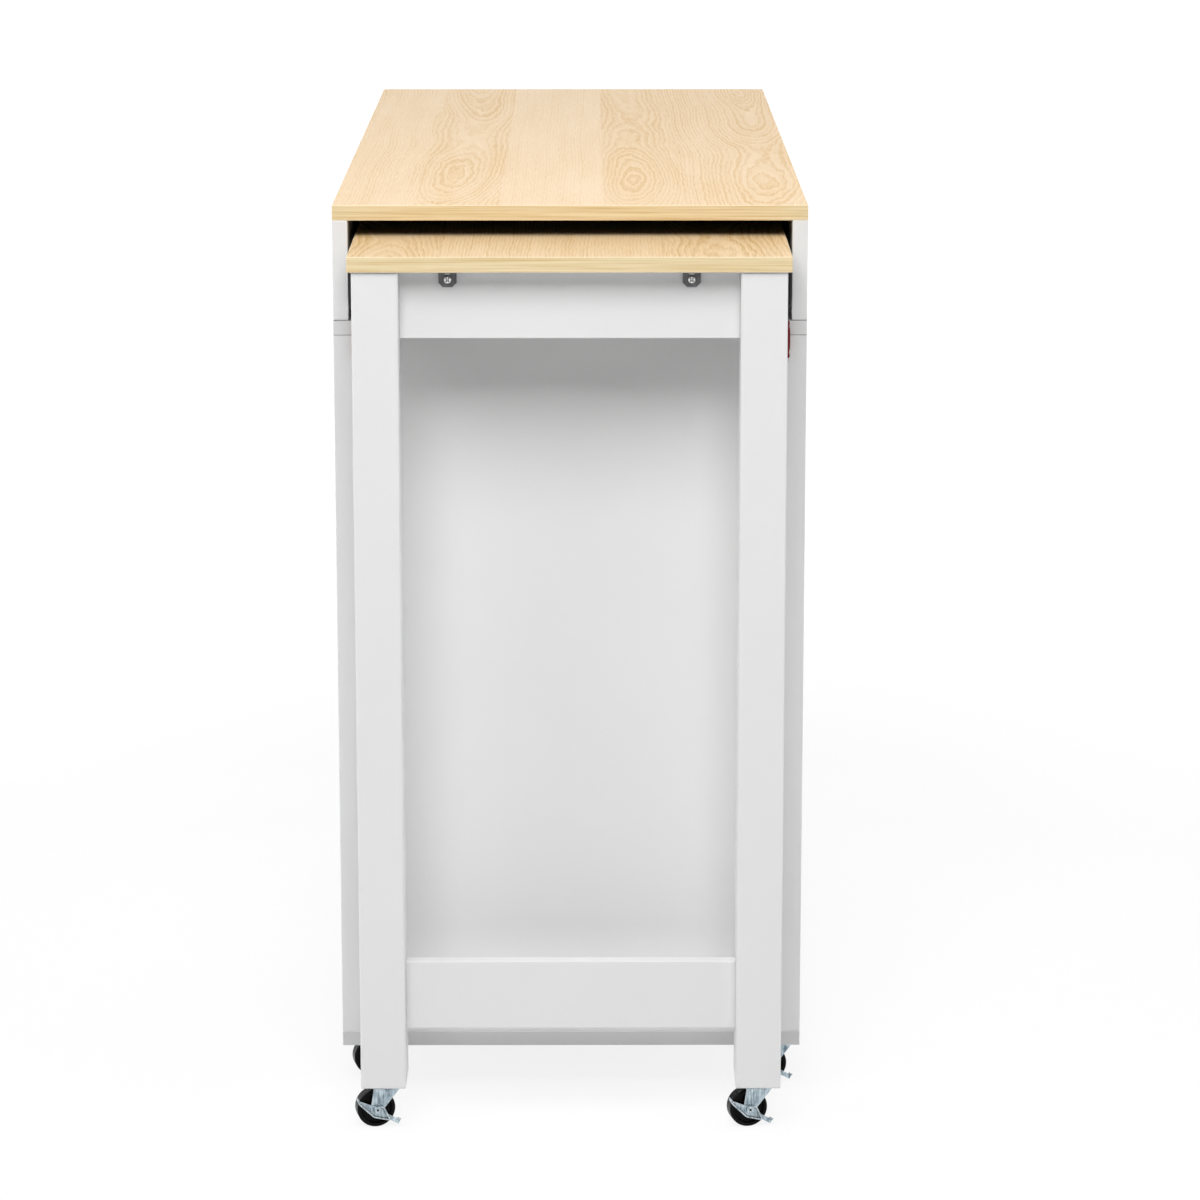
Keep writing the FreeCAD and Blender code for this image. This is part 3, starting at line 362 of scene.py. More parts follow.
@dataclass(frozen=True)
class WoodPrint:
    """Pale printed wood: joined staves with arched growth lines, and a band along the edges.

    A cell is the size of one patch of a noise. A range is the part of a noise that counts, or what
    the noise is stretched to. Tones are shares of the way from the light colour to the dark one,
    but for the flecks, which are that much paler than the underside colour.
    """

    name: str
    low: float
    width: float
    staves: tuple[Stave, ...]
    underside_colour: Colour
    light: Colour = (0.965, 0.765, 0.545)
    dark: Colour = (0.775, 0.525, 0.245)
    band: Colour = (0.83, 0.69, 0.44)
    band_dark: Colour = (0.66, 0.475, 0.22)
    band_cell: Cell = (0.13, 0.13, 0.0019)
    band_lines: Range = (0.40, 0.70)
    band_share: float = 0.9
    # Arris colour: a painted highlight on the sloped faces along the board's edges.
    painted_arris_highlight: Colour = (0.96, 0.88, 0.72)
    arris_facing: Range = (0.3, 0.95)
    arris_highlight_share: float = 0.6
    under_facing: float = -0.9
    fleck_scale: float = 420.0
    fleck_lines: Range = (0.4, 0.75)
    fleck_tone: float = 1.25
    ring_gap: float = 3.3 * MM
    heart_depth: float = 34.0 * MM
    sway: float = 30.0 * MM
    sway_cell: Cell = (0.36, 0.16, 1.0)
    sway_detail: float = 0.6
    sway_seeds: tuple[float, float] = (23.0, 7.0)
    climb: float = 0.12
    ragged: float = 5.0 * MM
    ragged_cell: Cell = (0.060, 0.011, 1.0)
    late_wood: float = 0.24
    line_power: float = 1.4
    fine_rings: float = 2.3
    fine_share: float = 0.6
    fibre_cell: Cell = (0.030, 0.0009, 1.0)
    fibre_break: Range = (0.55, 1.35)
    fibre_tone: float = 0.26
    cloud_cell: Cell = (0.30, 0.05, 1.0)
    cloud_strength: Range = (0.45, 1.05)
    year_scale: float = 0.8
    year_strength: Range = (0.35, 1.15)
    blush_cell: Cell = (0.24, 0.020, 1.0)
    blush_tone: float = 0.18
    stave_tone: float = 0.22
    rough: Range = (0.42, 0.56)
    specular: float = 0.28
    relief: float = 0.03 * MM

    def build(self) -> Material:
        """Make the material.

        Returns:
            The finished material.
        """
        sheet = ShaderSheet(self.name)
        point = sheet.place()
        fibre = sheet.noise(sheet.stretched(point, self.fibre_cell), detail=3.0, rough=0.6)
        colour = self._face(sheet, point, fibre)
        rise = sheet.part(sheet.facing(), "Z")
        up = sheet.calc("ABSOLUTE", rise)
        edge = sheet.calc("LESS_THAN", up, EDGE_FACING)
        colour = sheet.blend(edge, colour, self._band(sheet, point))
        # Painted highlight: faces that slope between the flat face and an edge are lightened.
        least, most = self.arris_facing
        painted_arris_highlight = sheet.calc("MULTIPLY", sheet.calc("GREATER_THAN", up, least),
                           sheet.calc("LESS_THAN", up, most))
        colour = sheet.blend(sheet.calc("MULTIPLY", painted_arris_highlight, self.arris_highlight_share), colour, self.painted_arris_highlight)
        # The underside colour: near-black painted shade on the worktop, pale grey on the table's
        # top.
        under = sheet.calc("LESS_THAN", rise, self.under_facing)
        colour = sheet.blend(under, colour, self._underside_flecks(sheet, point))
        sheet.shade(Base_Color=colour, Roughness=sheet.spread(fibre, *self.rough),
                    Specular_IOR_Level=self.specular)
        sheet.relief(fibre, self.relief)
        return sheet.material

    def _staves(self, sheet: ShaderSheet, share: Socket) -> bpy.types.Node:
        """Look up the strip that a point lies on.

        Args:
            sheet: The material's node tree.
            share: The point's place across the board, from 0 to 1.

        Returns:
            A ramp node whose colour holds tone, heart and lean, and whose alpha holds the figure.
        """
        ramp = sheet.add("ValToRGB", {"Fac": share})
        ramp.color_ramp.interpolation = "CONSTANT"
        stops = ramp.color_ramp.elements
        while len(stops) < len(self.staves):
            stops.new(1.0)
        for stop, stave in zip(stops, self.staves):
            stop.position = stave.start
            stop.color = (stave.tone, stave.heart, stave.lean, stave.figure)
        return ramp

    def _rings(self, sheet: ShaderSheet, point: object, lateral: object,
               lean: object) -> Socket:
        """Cut a plank off centre through slightly bent growth rings.

        Args:
            sheet: The material's node tree.
            point: The point on the piece.
            lateral: Its distance from the heart, across the board.
            lean: The lean of the strip's arches.

        Returns:
            The distance from the heart, in metres.
        """
        along = sheet.part(point, "X")
        shifts = [sheet.calc("MULTIPLY", lean, seed) for seed in self.sway_seeds]
        seed = sheet.add("CombineXYZ", dict(zip("XZ", shifts))).outputs[0]
        cell = sheet.stretched(point, self.sway_cell)
        cell = sheet.add("VectorMath", {0: cell, 1: seed}, operation="ADD").outputs[0]
        swing = sheet.calc("SUBTRACT", sheet.noise(cell, detail=self.sway_detail), 0.5)
        sway = sheet.calc("MULTIPLY", swing, 2 * self.sway)
        tilt = sheet.calc("MULTIPLY", sheet.calc("SUBTRACT", lean, 0.5), along)
        climb = sheet.calc("MULTIPLY", tilt, self.climb)
        depth = sheet.calc("ADD", sheet.calc("ADD", sway, climb), self.heart_depth)
        squares = [sheet.calc("POWER", side, 2.0) for side in (lateral, depth)]
        radius = sheet.calc("SQRT", sheet.calc("ADD", *squares))
        ragged = sheet.noise(sheet.stretched(point, self.ragged_cell), detail=3.0, rough=0.55)
        stray = sheet.calc("MULTIPLY", sheet.calc("SUBTRACT", ragged, 0.5), self.ragged)
        return sheet.calc("ADD", radius, stray)

    def _face(self, sheet: ShaderSheet, point: object, fibre: object) -> Socket:
        """Draw the arched growth lines and the fine fibre of the flat face.

        Args:
            sheet: The material's node tree.
            point: The point on the piece.
            fibre: The fine fibre, from 0 to 1.

        Returns:
            The socket of the colour.
        """
        share = sheet.remap(sheet.part(point, "Y"), self.low, self.low + self.width, 0.0, 1.0)
        ramp = self._staves(sheet, share)
        parts = sheet.add("SeparateColor", {0: ramp.outputs["Color"]})
        tone, heart, lean = parts.outputs
        lateral = sheet.calc("MULTIPLY", sheet.calc("SUBTRACT", share, heart), self.width)
        count = sheet.calc("DIVIDE", self._rings(sheet, point, lateral, lean), self.ring_gap)
        line = sheet.calc("MULTIPLY", self._lines(sheet, count),
                          sheet.spread(fibre, *self.fibre_break))
        cloud = sheet.noise(sheet.stretched(point, self.cloud_cell), detail=2.0)
        ring = sheet.add("CombineXYZ", {"X": count, "Y": heart}).outputs[0]
        year = sheet.noise(ring, scale=self.year_scale, detail=1.0)
        strength = sheet.calc("MULTIPLY", ramp.outputs["Alpha"],
                              sheet.spread(cloud, *self.cloud_strength))
        strength = sheet.calc("MULTIPLY", strength, sheet.spread(year, *self.year_strength))
        shade = sheet.calc("ADD", sheet.calc("MULTIPLY", line, strength),
                           sheet.spread(fibre, 0.0, self.fibre_tone))
        blush = sheet.noise(sheet.stretched(point, self.blush_cell), detail=2.0)
        shade = sheet.calc("ADD", shade, sheet.spread(blush, 0.0, self.blush_tone))
        shade = sheet.calc("ADD", shade, sheet.calc("MULTIPLY", tone, self.stave_tone))
        return sheet.blend(shade, self.light, self.dark)

    def _lines(self, sheet: ShaderSheet, count: object) -> Socket:
        """Darken each growth ring towards its late wood, with finer rings between.

        Args:
            sheet: The material's node tree.
            count: Rings from the heart to the point.

        Returns:
            The socket of the darkness.
        """
        phase = sheet.calc("FRACT", count)
        rise = sheet.calc("DIVIDE", phase, 1.0 - self.late_wood)
        fall = sheet.calc("DIVIDE", sheet.calc("SUBTRACT", 1.0, phase), self.late_wood)
        line = sheet.calc("POWER", sheet.calc("MINIMUM", rise, fall), self.line_power)
        fine = sheet.calc("PINGPONG", sheet.calc("MULTIPLY", count, self.fine_rings), 0.5)
        return sheet.calc("ADD", line, sheet.calc("MULTIPLY", fine, self.fine_share))

    def _underside_flecks(self, sheet: ShaderSheet, point: object) -> Socket:
        """Draw the flecked underside: near-black on the worktop, as painted shade for the slot
        below it, and pale grey on the table's top.

        Args:
            sheet: The material's node tree.
            point: The point on the piece.

        Returns:
            The socket of the colour.
        """
        flecks = sheet.noise(point, scale=self.fleck_scale, detail=3.0, rough=0.6)
        share = sheet.remap(flecks, *self.fleck_lines, 0.0, 1.0)
        return sheet.blend(share, self.underside_colour, toned(self.underside_colour, self.fleck_tone))

    def _band(self, sheet: ShaderSheet, point: object) -> Socket:
        """Draw the edge band, whose lines run round the board.

        Args:
            sheet: The material's node tree.
            point: The point on the piece.

        Returns:
            The socket of the colour.
        """
        lines = sheet.noise(sheet.stretched(point, self.band_cell), detail=3.0, rough=0.6)
        share = sheet.remap(lines, *self.band_lines, 0.0, self.band_share)
        return sheet.blend(share, self.band, self.band_dark)


@dataclass(frozen=True)
class Laminate:
    """White satin laminate with a faint orange-peel skin, and edges a tone darker."""

    name: str
    colour: Colour = (0.80, 0.80, 0.80)
    edge_tone: float = 1.0
    # Seams are heights of painted shadow lines where the board meets its neighbours.
    seams: tuple[float, ...] = ()
    seam_width: float = 0.8 * MM
    seam_shadow_tone: float = 0.42
    peel: float = 0.9 * MM
    peel_depth: float = 0.012 * MM
    cloud_scale: float = 9.0
    cloud_tone: float = 0.988
    rough: Range = (0.40, 0.50)
    specular: float = 0.35

    def build(self) -> Material:
        """Make the material.

        Returns:
            The finished material.
        """
        sheet = ShaderSheet(self.name)
        point = sheet.place()
        cloud = sheet.noise(point, scale=self.cloud_scale, detail=2.0)
        dull = toned(self.colour, self.cloud_tone)
        colour = sheet.blend(sheet.spread(cloud, 0.0, 1.0), self.colour, dull)
        if self.edge_tone < 1.0:
            facing = sheet.calc("ABSOLUTE", sheet.part(sheet.facing(), "Z"))
            edge = sheet.calc("LESS_THAN", facing, EDGE_FACING)
            colour = sheet.blend(edge, colour, toned(self.colour, self.edge_tone))
        level = sheet.part(point, "Z")
        # Painted shadow: whatever lies within seam width of a seam height is darkened.
        for seam in self.seams:
            gap = sheet.calc("ABSOLUTE", sheet.calc("SUBTRACT", level, seam))
            seam_shadow = sheet.calc("LESS_THAN", gap, self.seam_width)
            colour = sheet.blend(seam_shadow, colour, toned(self.colour, self.seam_shadow_tone))
        skin = sheet.noise(point, scale=1.0 / self.peel, detail=1.0)
        sheet.shade(Base_Color=colour, Roughness=sheet.spread(cloud, *self.rough),
                    Specular_IOR_Level=self.specular)
        sheet.relief(skin, self.peel_depth)
        return sheet.material


@dataclass(frozen=True)
class Steel:
    """Plated or coated steel with streaks along one direction.

    Recess and edge are how far the painted shade in recesses and the painted highlight along edges
    reach: 0 leaves them out.
    """

    name: str
    light: Colour
    dark: Colour
    rough: Range
    metallic: float = 1.0
    streak: Cell = (0.0016, 0.0016, 0.014)
    streak_lines: Range = (0.34, 0.66)
    streak_tone: float = 0.6
    cloud_scale: float = 120.0
    cloud_patches: Range = (0.40, 0.64)
    cloud_tone: float = 0.4
    depth: float = 0.02 * MM
    # Recess and its tone: painted shade, a near-black darkening of the piece's own recesses.
    recess: float = 0.0
    recess_shade_tone: float = 0.22
    # Edge and its colour: a painted highlight along sharp edges.
    edge: float = 0.0
    painted_edge_highlight: Colour = (0.90, 0.93, 0.94)
    edge_highlight_share: float = 0.85

    def build(self) -> Material:
        """Make the material.

        Returns:
            The finished material.
        """
        sheet = ShaderSheet(self.name)
        point = sheet.place()
        streak = sheet.noise(sheet.stretched(point, self.streak), detail=3.0, rough=0.55)
        cloud = sheet.noise(point, scale=self.cloud_scale, detail=2.0)
        shade = sheet.calc("ADD", sheet.remap(streak, *self.streak_lines, 0.0, self.streak_tone),
                           sheet.remap(cloud, *self.cloud_patches, 0.0, self.cloud_tone))
        colour = sheet.blend(shade, self.light, self.dark)
        # Painted shade: the piece's own recesses are darkened towards a near-black tone.
        if self.recess > 0.0:
            painted_recess_shade = toned(self.dark, self.recess_shade_tone)
            colour = sheet.blend(sheet.hollow(self.recess), colour, painted_recess_shade)
        # Painted highlight: sharp edges are lightened towards a pale colour.
        if self.edge > 0.0:
            share = sheet.calc("MULTIPLY", sheet.rim(self.edge), self.edge_highlight_share)
            colour = sheet.blend(share, colour, self.painted_edge_highlight)
        sheet.shade(Base_Color=colour, Roughness=sheet.spread(streak, *self.rough),
                    Metallic=self.metallic)
        sheet.relief(streak, self.depth)
        return sheet.material


@dataclass(frozen=True)
class Moulded:
    """Moulded plastic or rubber with a fine grain and scuffs."""

    name: str
    colour: Colour
    scuffed: Colour
    rough: Range
    specular: float
    grain: float = 0.6 * MM
    grain_depth: float = 0.02 * MM
    scuff_scale: float = 160.0
    scuff_patches: Range = (0.50, 0.75)

    def build(self) -> Material:
        """Make the material.

        Returns:
            The finished material.
        """
        sheet = ShaderSheet(self.name)
        point = sheet.place()
        scuff = sheet.noise(point, scale=self.scuff_scale, detail=4.0, rough=0.65)
        grain = sheet.noise(point, scale=1.0 / self.grain, detail=2.0)
        worn = sheet.remap(scuff, *self.scuff_patches, 0.0, 1.0)
        colour = sheet.blend(worn, self.colour, self.scuffed)
        sheet.shade(Base_Color=colour, Roughness=sheet.spread(scuff, *self.rough),
                    Specular_IOR_Level=self.specular)
        sheet.relief(grain, self.grain_depth)
        return sheet.material


def put(name: str, data: bpy.types.ID) -> bpy.types.Object:
    """Put an object into the scene.

    Args:
        name: The object's name.
        data: Its mesh, lamp or camera.

    Returns:
        The object.
    """
    item = bpy.data.objects.new(name, data)
    bpy.context.scene.collection.objects.link(item)
    return item


def dress(frame: dict, names: Iterable[str], material: Material) -> None:
    """Give carried-over nodes one finish.

    Args:
        frame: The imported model.
        names: The nodes' names.
        material: Their finish.
    """
    for name in names:
        mesh = frame["nodes"][name].data
        mesh.materials.clear()
        mesh.materials.append(material)
        LOG.info("dressed %s in %s", name, material.name)


@dataclass
class WoodBoards:
    """The worktop and the table's top, each with its own print."""

    worktop: tuple[Stave, ...] = (
        Stave(0.0, 0.31, 0.36, 0.20, 0.55),
        Stave(0.17, 0.255, 0.63, 0.30, 0.90),
        Stave(0.35, 0.80, 0.48, 0.0, 0.45),
        Stave(0.57, 0.64, 0.41, 0.60, 0.95),
        Stave(0.735, 0.93, 0.71, 0.25, 1.0),
    )
    # Near-black worktop underside: painted shade that keeps the slot over the table dark.
    slot_shade_underside: Colour = (0.026, 0.019, 0.014)
    pale_backing: Colour = (0.62, 0.61, 0.59)
    table_tones: tuple[Colour, Colour] = ((0.94, 0.735, 0.49), (0.66, 0.42, 0.165))
    table_top: tuple[Stave, ...] = (
        Stave(0.0, 0.07, 0.58, 0.35, 0.85),
        Stave(0.21, 0.62, 0.44, 0.10, 0.60),
        Stave(0.44, 0.20, 0.54, 0.30, 0.50),
        Stave(0.71, 0.84, 0.66, 0.20, 1.0),
    )

    def dress(self, frame: dict) -> None:
        """Print both boards.

        Args:
            frame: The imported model.
        """
        for node, staves, underside_colour, print_tones in (
            ("worktop", self.worktop, self.slot_shade_underside, ()),
            ("table_top", self.table_top, self.pale_backing, self.table_tones),
        ):
            low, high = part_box(node)
            start = low[Axis.ACROSS]
            width = high[Axis.ACROSS] - start
            finish = WoodPrint(f"{node}_print", start, width, staves, underside_colour, *print_tones)
            dress(frame, [node], finish.build())


@dataclass
class WhiteBoards:
    """Every board in white laminate: the carcass, the doors, the shelves and the table's frame."""

    plain: tuple[str, ...] = (
        "near_end_panel", "far_end_panel", "front_upper_side", "back_upper_side",
        "far_upper_end", "back_panel", "divider_panel", "adjustable_shelf", "open_bay_shelves",
        "far_door", "near_door", "left_leg", "right_leg", "table_side_rails", "table_rear_rail",
        "table_apron", "leg_stretcher",
    )
    base_edge: float = 0.80
    deck_edge: float = 0.92

    def dress(self, frame: dict) -> None:
        """Give the boards their laminate.

        Args:
            frame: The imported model.
        """
        dress(frame, self.plain, Laminate("white_laminate").build())
        base = Laminate("base_laminate", edge_tone=self.base_edge)
        dress(frame, ["base_board"], base.build())
        low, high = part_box("deck_board")
        # Painted shadow lines at the deck's top and bottom levels.
        seams = (low[Axis.UP], high[Axis.UP])
        deck = Laminate("deck_laminate", edge_tone=self.deck_edge, seams=seams)
        dress(frame, ["deck_board"], deck.build())


@dataclass
class Hardware:
    """Casters, hinges, runners, brackets, knobs, pins and bumpers."""

    # Zinc gets painted shade in its recesses and a painted highlight on its edges; bright plate
    # gets painted shade in its recesses.
    zinc: Steel = Steel("zinc_plate", (0.62, 0.72, 0.77), (0.11, 0.16, 0.20), (0.20, 0.34),
                        recess=9.0 * MM, edge=0.7 * MM)
    bright: Steel = Steel("bright_plate", (0.82, 0.82, 0.80), (0.60, 0.60, 0.59), (0.16, 0.30),
                          recess=2.0 * MM)
    nickel: Steel = Steel("satin_nickel", (0.62, 0.60, 0.56), (0.46, 0.44, 0.41), (0.28, 0.42))
    coated: Steel = Steel("black_coat", (0.022, 0.022, 0.023), (0.012, 0.012, 0.013),
                          (0.34, 0.52), metallic=0.0)
    bracket: Steel = Steel("grey_coat", (0.17, 0.17, 0.175), (0.10, 0.10, 0.105), (0.38, 0.55),
                           metallic=0.0)
    wheel: Moulded = Moulded("black_wheel", (0.005, 0.005, 0.0055), (0.010, 0.010, 0.010),
                             (0.18, 0.34), 0.07)
    bumper: Moulded = Moulded("red_rubber", (0.15, 0.008, 0.007), (0.20, 0.02, 0.018), (0.5, 0.7),
                              0.30)

    def dress(self, frame: dict) -> None:
        """Give each fitting its finish, and add the small fixings.

        Args:
            frame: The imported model.
        """
        names = list(frame["nodes"])
        casters = ("_fork", "_axle", "_brake_lever", "_caster_plates", "_caster_screws")
        dress(frame, [n for n in names if n.endswith(casters)], self.zinc.build())
        dress(frame, [n for n in names if n.endswith("_wheel")], self.wheel.build())
        coated, nickel = self.coated.build(), self.nickel.build()
        dress(frame, [n for n in names if n.startswith("runner_")], coated)
        satin = ("_hinge_leaves", "hinge_pins", "shelf_pins", "_knob")
        dress(frame, [n for n in names if n.endswith(satin)], nickel)
        # The black coat also goes on the floors of the screw and cam recesses, as painted shade.
        Fixings(nickel, coated).build()
        dress(frame, ["angle_brackets"], self.bracket.build())
        dress(frame, ["bracket_screws"], self.bright.build())
        rubber = self.bumper.build()
        dress(frame, ["stop_bumpers"], rubber)
        Bumpers().build(rubber)


@dataclass
class Bumpers:
    """The two rubber pads that the legs dock on: squeezed out, and pinched at their pins."""

    bulges: tuple[float, float] = (0.0, 1.5 * MM)
    bulge_power: int = 8
    pinch: float = 0.9 * MM
    pinched_at: tuple[float, float] = (0.17, 0.86)
    pinch_span: float = 0.07
    width: float = 16.0 * MM
    ease: float = 1.2 * MM
    rings: int = 40
    arc_steps: int = 3

    def build(self, rubber: Material) -> None:
        """Make both pads in place of the plain ones.

        Args:
            rubber: Their finish.
        """
        low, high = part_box("stop_bumpers")
        shape = bmesh.new()
        for way, bulge in zip((-1.0, 1.0), self.bulges):
            outer = high[Axis.ACROSS] if way > 0 else low[Axis.ACROSS]
            self._pad(shape, (low, high), outer, way, bulge)
        bmesh.ops.recalc_face_normals(shape, faces=shape.faces)
        mesh = bpy.data.meshes.new("stop_bumper_pads")
        shape.to_mesh(mesh)
        shape.free()
        mesh.materials.append(rubber)
        piece = put("stop_bumper_pads", mesh)
        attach(piece, "carcass")
        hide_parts("stop_bumpers")
        LOG.info("moulded %s", piece.name)

    def _pad(self, shape: bmesh.types.BMesh, box: Sequence[Sequence[float]], outer: float,
             way: float, bulge: float) -> None:
        """Loft one pad upwards through rounded sections.

        Args:
            shape: The mesh to add to.
            box: Corners of the box round both pads.
            outer: Where the pad's outer side stands across the part.
            way: 1 or -1, the way that side faces.
            bulge: How far the rubber is squeezed out of it.
        """
        (back, _, foot), (front, _, head) = box
        rows: list[list[bmesh.types.BMVert]] = []
        for ring in range(self.rings + 1):
            share = ring / self.rings
            level = foot + share * (head - foot)
            end = min(level - foot, head - level)
            inset = self.ease - math.sqrt(max(0.0, self.ease ** 2 - max(0.0, self.ease - end) ** 2))
            swell = bulge * math.sqrt(max(0.0, 1.0 - (2.0 * share - 1.0) ** self.bulge_power))
            swell -= self.pinch * max(math.exp(-((share - at) / self.pinch_span) ** 2)
                                      for at in self.pinched_at)
            sides = (outer - way * (self.width - inset), outer + way * (swell - inset))
            section = self._section(back + inset, front - inset, sides)
            rows.append([shape.verts.new((x, y, level)) for x, y in section])
        for lower, upper in zip(rows, rows[1:]):
            for index in range(len(lower)):
                after = (index + 1) % len(lower)
                shape.faces.new((lower[index], lower[after], upper[after], upper[index]))
        shape.faces.new(rows[0])
        shape.faces.new(rows[-1])

    def _section(self, back: float, front: float, sides: Range) -> list[tuple[float, float]]:
        """Draw one rounded section.

        Args:
            back: Its rear face.
            front: Its front face.
            sides: Its two sides.

        Returns:
            The points round it.
        """
        ease = self.ease
        left, right = min(sides) + ease, max(sides) - ease
        rear, fore = back + ease, front - ease
        points = []
        centres = ((fore, right), (rear, right), (rear, left), (fore, left))
        for quarter, (x, y) in enumerate(centres):
            for step in range(self.arc_steps + 1):
                turn = math.pi / 2 * (quarter + step / self.arc_steps)
                points.append((x + ease * math.cos(turn), y + ease * math.sin(turn)))
        return points


@dataclass(frozen=True)
class Spot:
    """Where one small fixing sits, and the way it faces."""

    point: Point
    facing: Point


@dataclass(frozen=True)
class CrossHeads:
    """Flat heads with a cross recess, set on the surfaces that they hold. Sizes are millimetres.

    Span, bar and flat are shares of the diameter, and floor is a share of the proud height. Step
    keeps the floors of the two bars apart, and corners nearer than weld become one.
    """

    diameter: float
    proud: float
    sink: float = 0.3
    span: float = 0.60
    bar: float = 0.17
    flat: float = 0.88
    floor: float = 0.25
    rim_corners: int = 32
    seed: int = 7
    step: float = 0.02
    weld: float = 0.001
    mark: str = "recess"

    def sizes(self) -> dict[str, float]:
        """Give the sizes by the names of the tree's inputs."""
        return {"Head diameter": self.diameter, "Proud height": self.proud,
                "Sink depth": self.sink, "Recess span": self.span, "Recess bar": self.bar}

    def tree(self) -> FixingSheet:
        """Build the tree: a chamfered disc with a cross sunk in it, set on the points; the cross's
        floor takes the dark finish as painted shade.

        Returns:
            The finished tree.
        """
        sheet = FixingSheet("cross_heads")
        head, proud, sink, span, bar = (sheet.take(name) for name in self.sizes())
        steel = sheet.take("Head finish", "NodeSocketMaterial")
        dark = sheet.take("Recess shade finish", "NodeSocketMaterial")
        radius = sheet.calc("MULTIPLY", head, 0.5)
        height = sheet.calc("ADD", proud, sink)
        disc = sheet.add("GeometryNodeMeshCone", {
            "Vertices": self.rim_corners, "Radius Top": sheet.calc("MULTIPLY", radius, self.flat),
            "Radius Bottom": radius, "Depth": height})
        long, short = (sheet.calc("MULTIPLY", head, share) for share in (span, bar))
        floor = sheet.calc("ADD", sink, sheet.calc("MULTIPLY", proud, self.floor))
        cut = disc.outputs["Mesh"]
        for block in self._cross(sheet, (long, short), height, floor):
            less = sheet.add("GeometryNodeMeshBoolean", {"Mesh 1": cut, "Mesh 2": block},
                             operation="DIFFERENCE")
            cut = less.outputs["Mesh"]
        whole = sheet.add("GeometryNodeMergeByDistance", {"Geometry": cut, "Distance": self.weld})
        drop = sheet.triple(0.0, 0.0, sheet.calc("MULTIPLY", sink, -1.0))
        sunk = sheet.add("GeometryNodeTransform", {
            "Geometry": whole.outputs[0], "Translation": drop})
        laid = sheet.add("GeometryNodeRealizeInstances", {0: self._set(sheet, sunk.outputs[0])})
        plain = sheet.add("GeometryNodeSetMaterial", {
            "Geometry": laid.outputs[0], "Material": steel})
        # Painted shade: the marked faces at the bottom of the cross take the dark finish.
        recess = sheet.add("GeometryNodeInputNamedAttribute", {"Name": self.mark},
                           data_type="BOOLEAN")
        shaded = sheet.add("GeometryNodeSetMaterial", {
            "Geometry": plain.outputs[0], "Selection": recess.outputs["Attribute"],
            "Material": dark})
        sheet.feed(shaded.outputs[0], sheet.exit.inputs[0])
        return sheet

    def _cross(self, sheet: FixingSheet, sides: tuple[object, object], depth: object,
               floor: object) -> list[Socket]:
        """Add two crossed bars on the floor of the recess, one a step higher, with marked faces.

        Args:
            sheet: The tree.
            sides: Length and width of a bar.
            depth: Height of a bar.
            floor: Level of the floor.

        Returns:
            The sockets of the two meshes.
        """
        middle = sheet.calc("ADD", floor, sheet.calc("MULTIPLY", depth, 0.5))
        bars = []
        for (x, y), rise in ((sides, 0.0), (sides[::-1], self.step)):
            block = sheet.add("GeometryNodeMeshCube", {"Size": sheet.triple(x, y, depth)})
            lift = sheet.triple(0.0, 0.0, sheet.calc("ADD", middle, rise))
            raised = sheet.add("GeometryNodeTransform", {
                "Geometry": block.outputs["Mesh"], "Translation": lift})
            marked = sheet.add("GeometryNodeStoreNamedAttribute", {
                "Geometry": raised.outputs[0], "Name": self.mark, "Value": True},
                data_type="BOOLEAN", domain="FACE")
            bars.append(marked.outputs[0])
        return bars

    def _set(self, sheet: FixingSheet, shape: Socket) -> Socket:
        """Set the shape on every point, facing out of its surface and turned at random.

        Args:
            sheet: The tree.
            shape: The shape's socket.

        Returns:
            The socket of the shapes, as instances.
        """
        facing = sheet.add("GeometryNodeInputNamedAttribute", {"Name": "facing"},
                           data_type="FLOAT_VECTOR")
        aim = sheet.add("FunctionNodeAlignRotationToVector",
                        {"Vector": facing.outputs["Attribute"]}, axis="Z")
        laid = sheet.add("GeometryNodeInstanceOnPoints", {
            "Points": sheet.points, "Instance": shape, "Rotation": aim.outputs[0],
            "Scale": (MM, MM, MM)})
        spin = sheet.add("FunctionNodeRandomValue", {"Max": math.pi / 2, "Seed": self.seed},
                         data_type="FLOAT")
        turn = sheet.triple(0.0, 0.0, spin.outputs["Value"])
        spun = sheet.add("GeometryNodeRotateInstances", {
            "Instances": laid.outputs[0], "Rotation": turn})
        return spun.outputs[0]

    def build(self, name: str, spots: Sequence[Spot], finish: Material,
              shade: Material) -> bpy.types.Object:
        """Make one piece of all the heads on a body.

        Args:
            name: The piece's name.
            spots: Where the heads sit.
            finish: The heads' finish.
            shade: The dark finish at the bottom of the recesses, painted shade.

        Returns:
            The piece, as a plain mesh.
        """
        mesh = bpy.data.meshes.new(name)
        mesh.from_pydata([spot.point for spot in spots], [], [])
        facing = mesh.attributes.new("facing", "FLOAT_VECTOR", "POINT")
        facing.data.foreach_set("vector", [part for spot in spots for part in spot.facing])
        piece = put(name, mesh)
        sheet = self.tree()
        modifier = piece.modifiers.new("heads", "NODES")
        modifier.node_group = sheet.tree
        values = {**self.sizes(), "Head finish": finish, "Recess shade finish": shade}
        for label, value in values.items():
            modifier[sheet.identifiers[label]] = value
        drawn = piece.evaluated_get(bpy.context.evaluated_depsgraph_get())
        solid = bpy.data.meshes.new_from_object(drawn)
        piece.modifiers.remove(modifier)
        piece.data = solid
        LOG.info("set %d heads as %s", len(spots), name)
        return piece


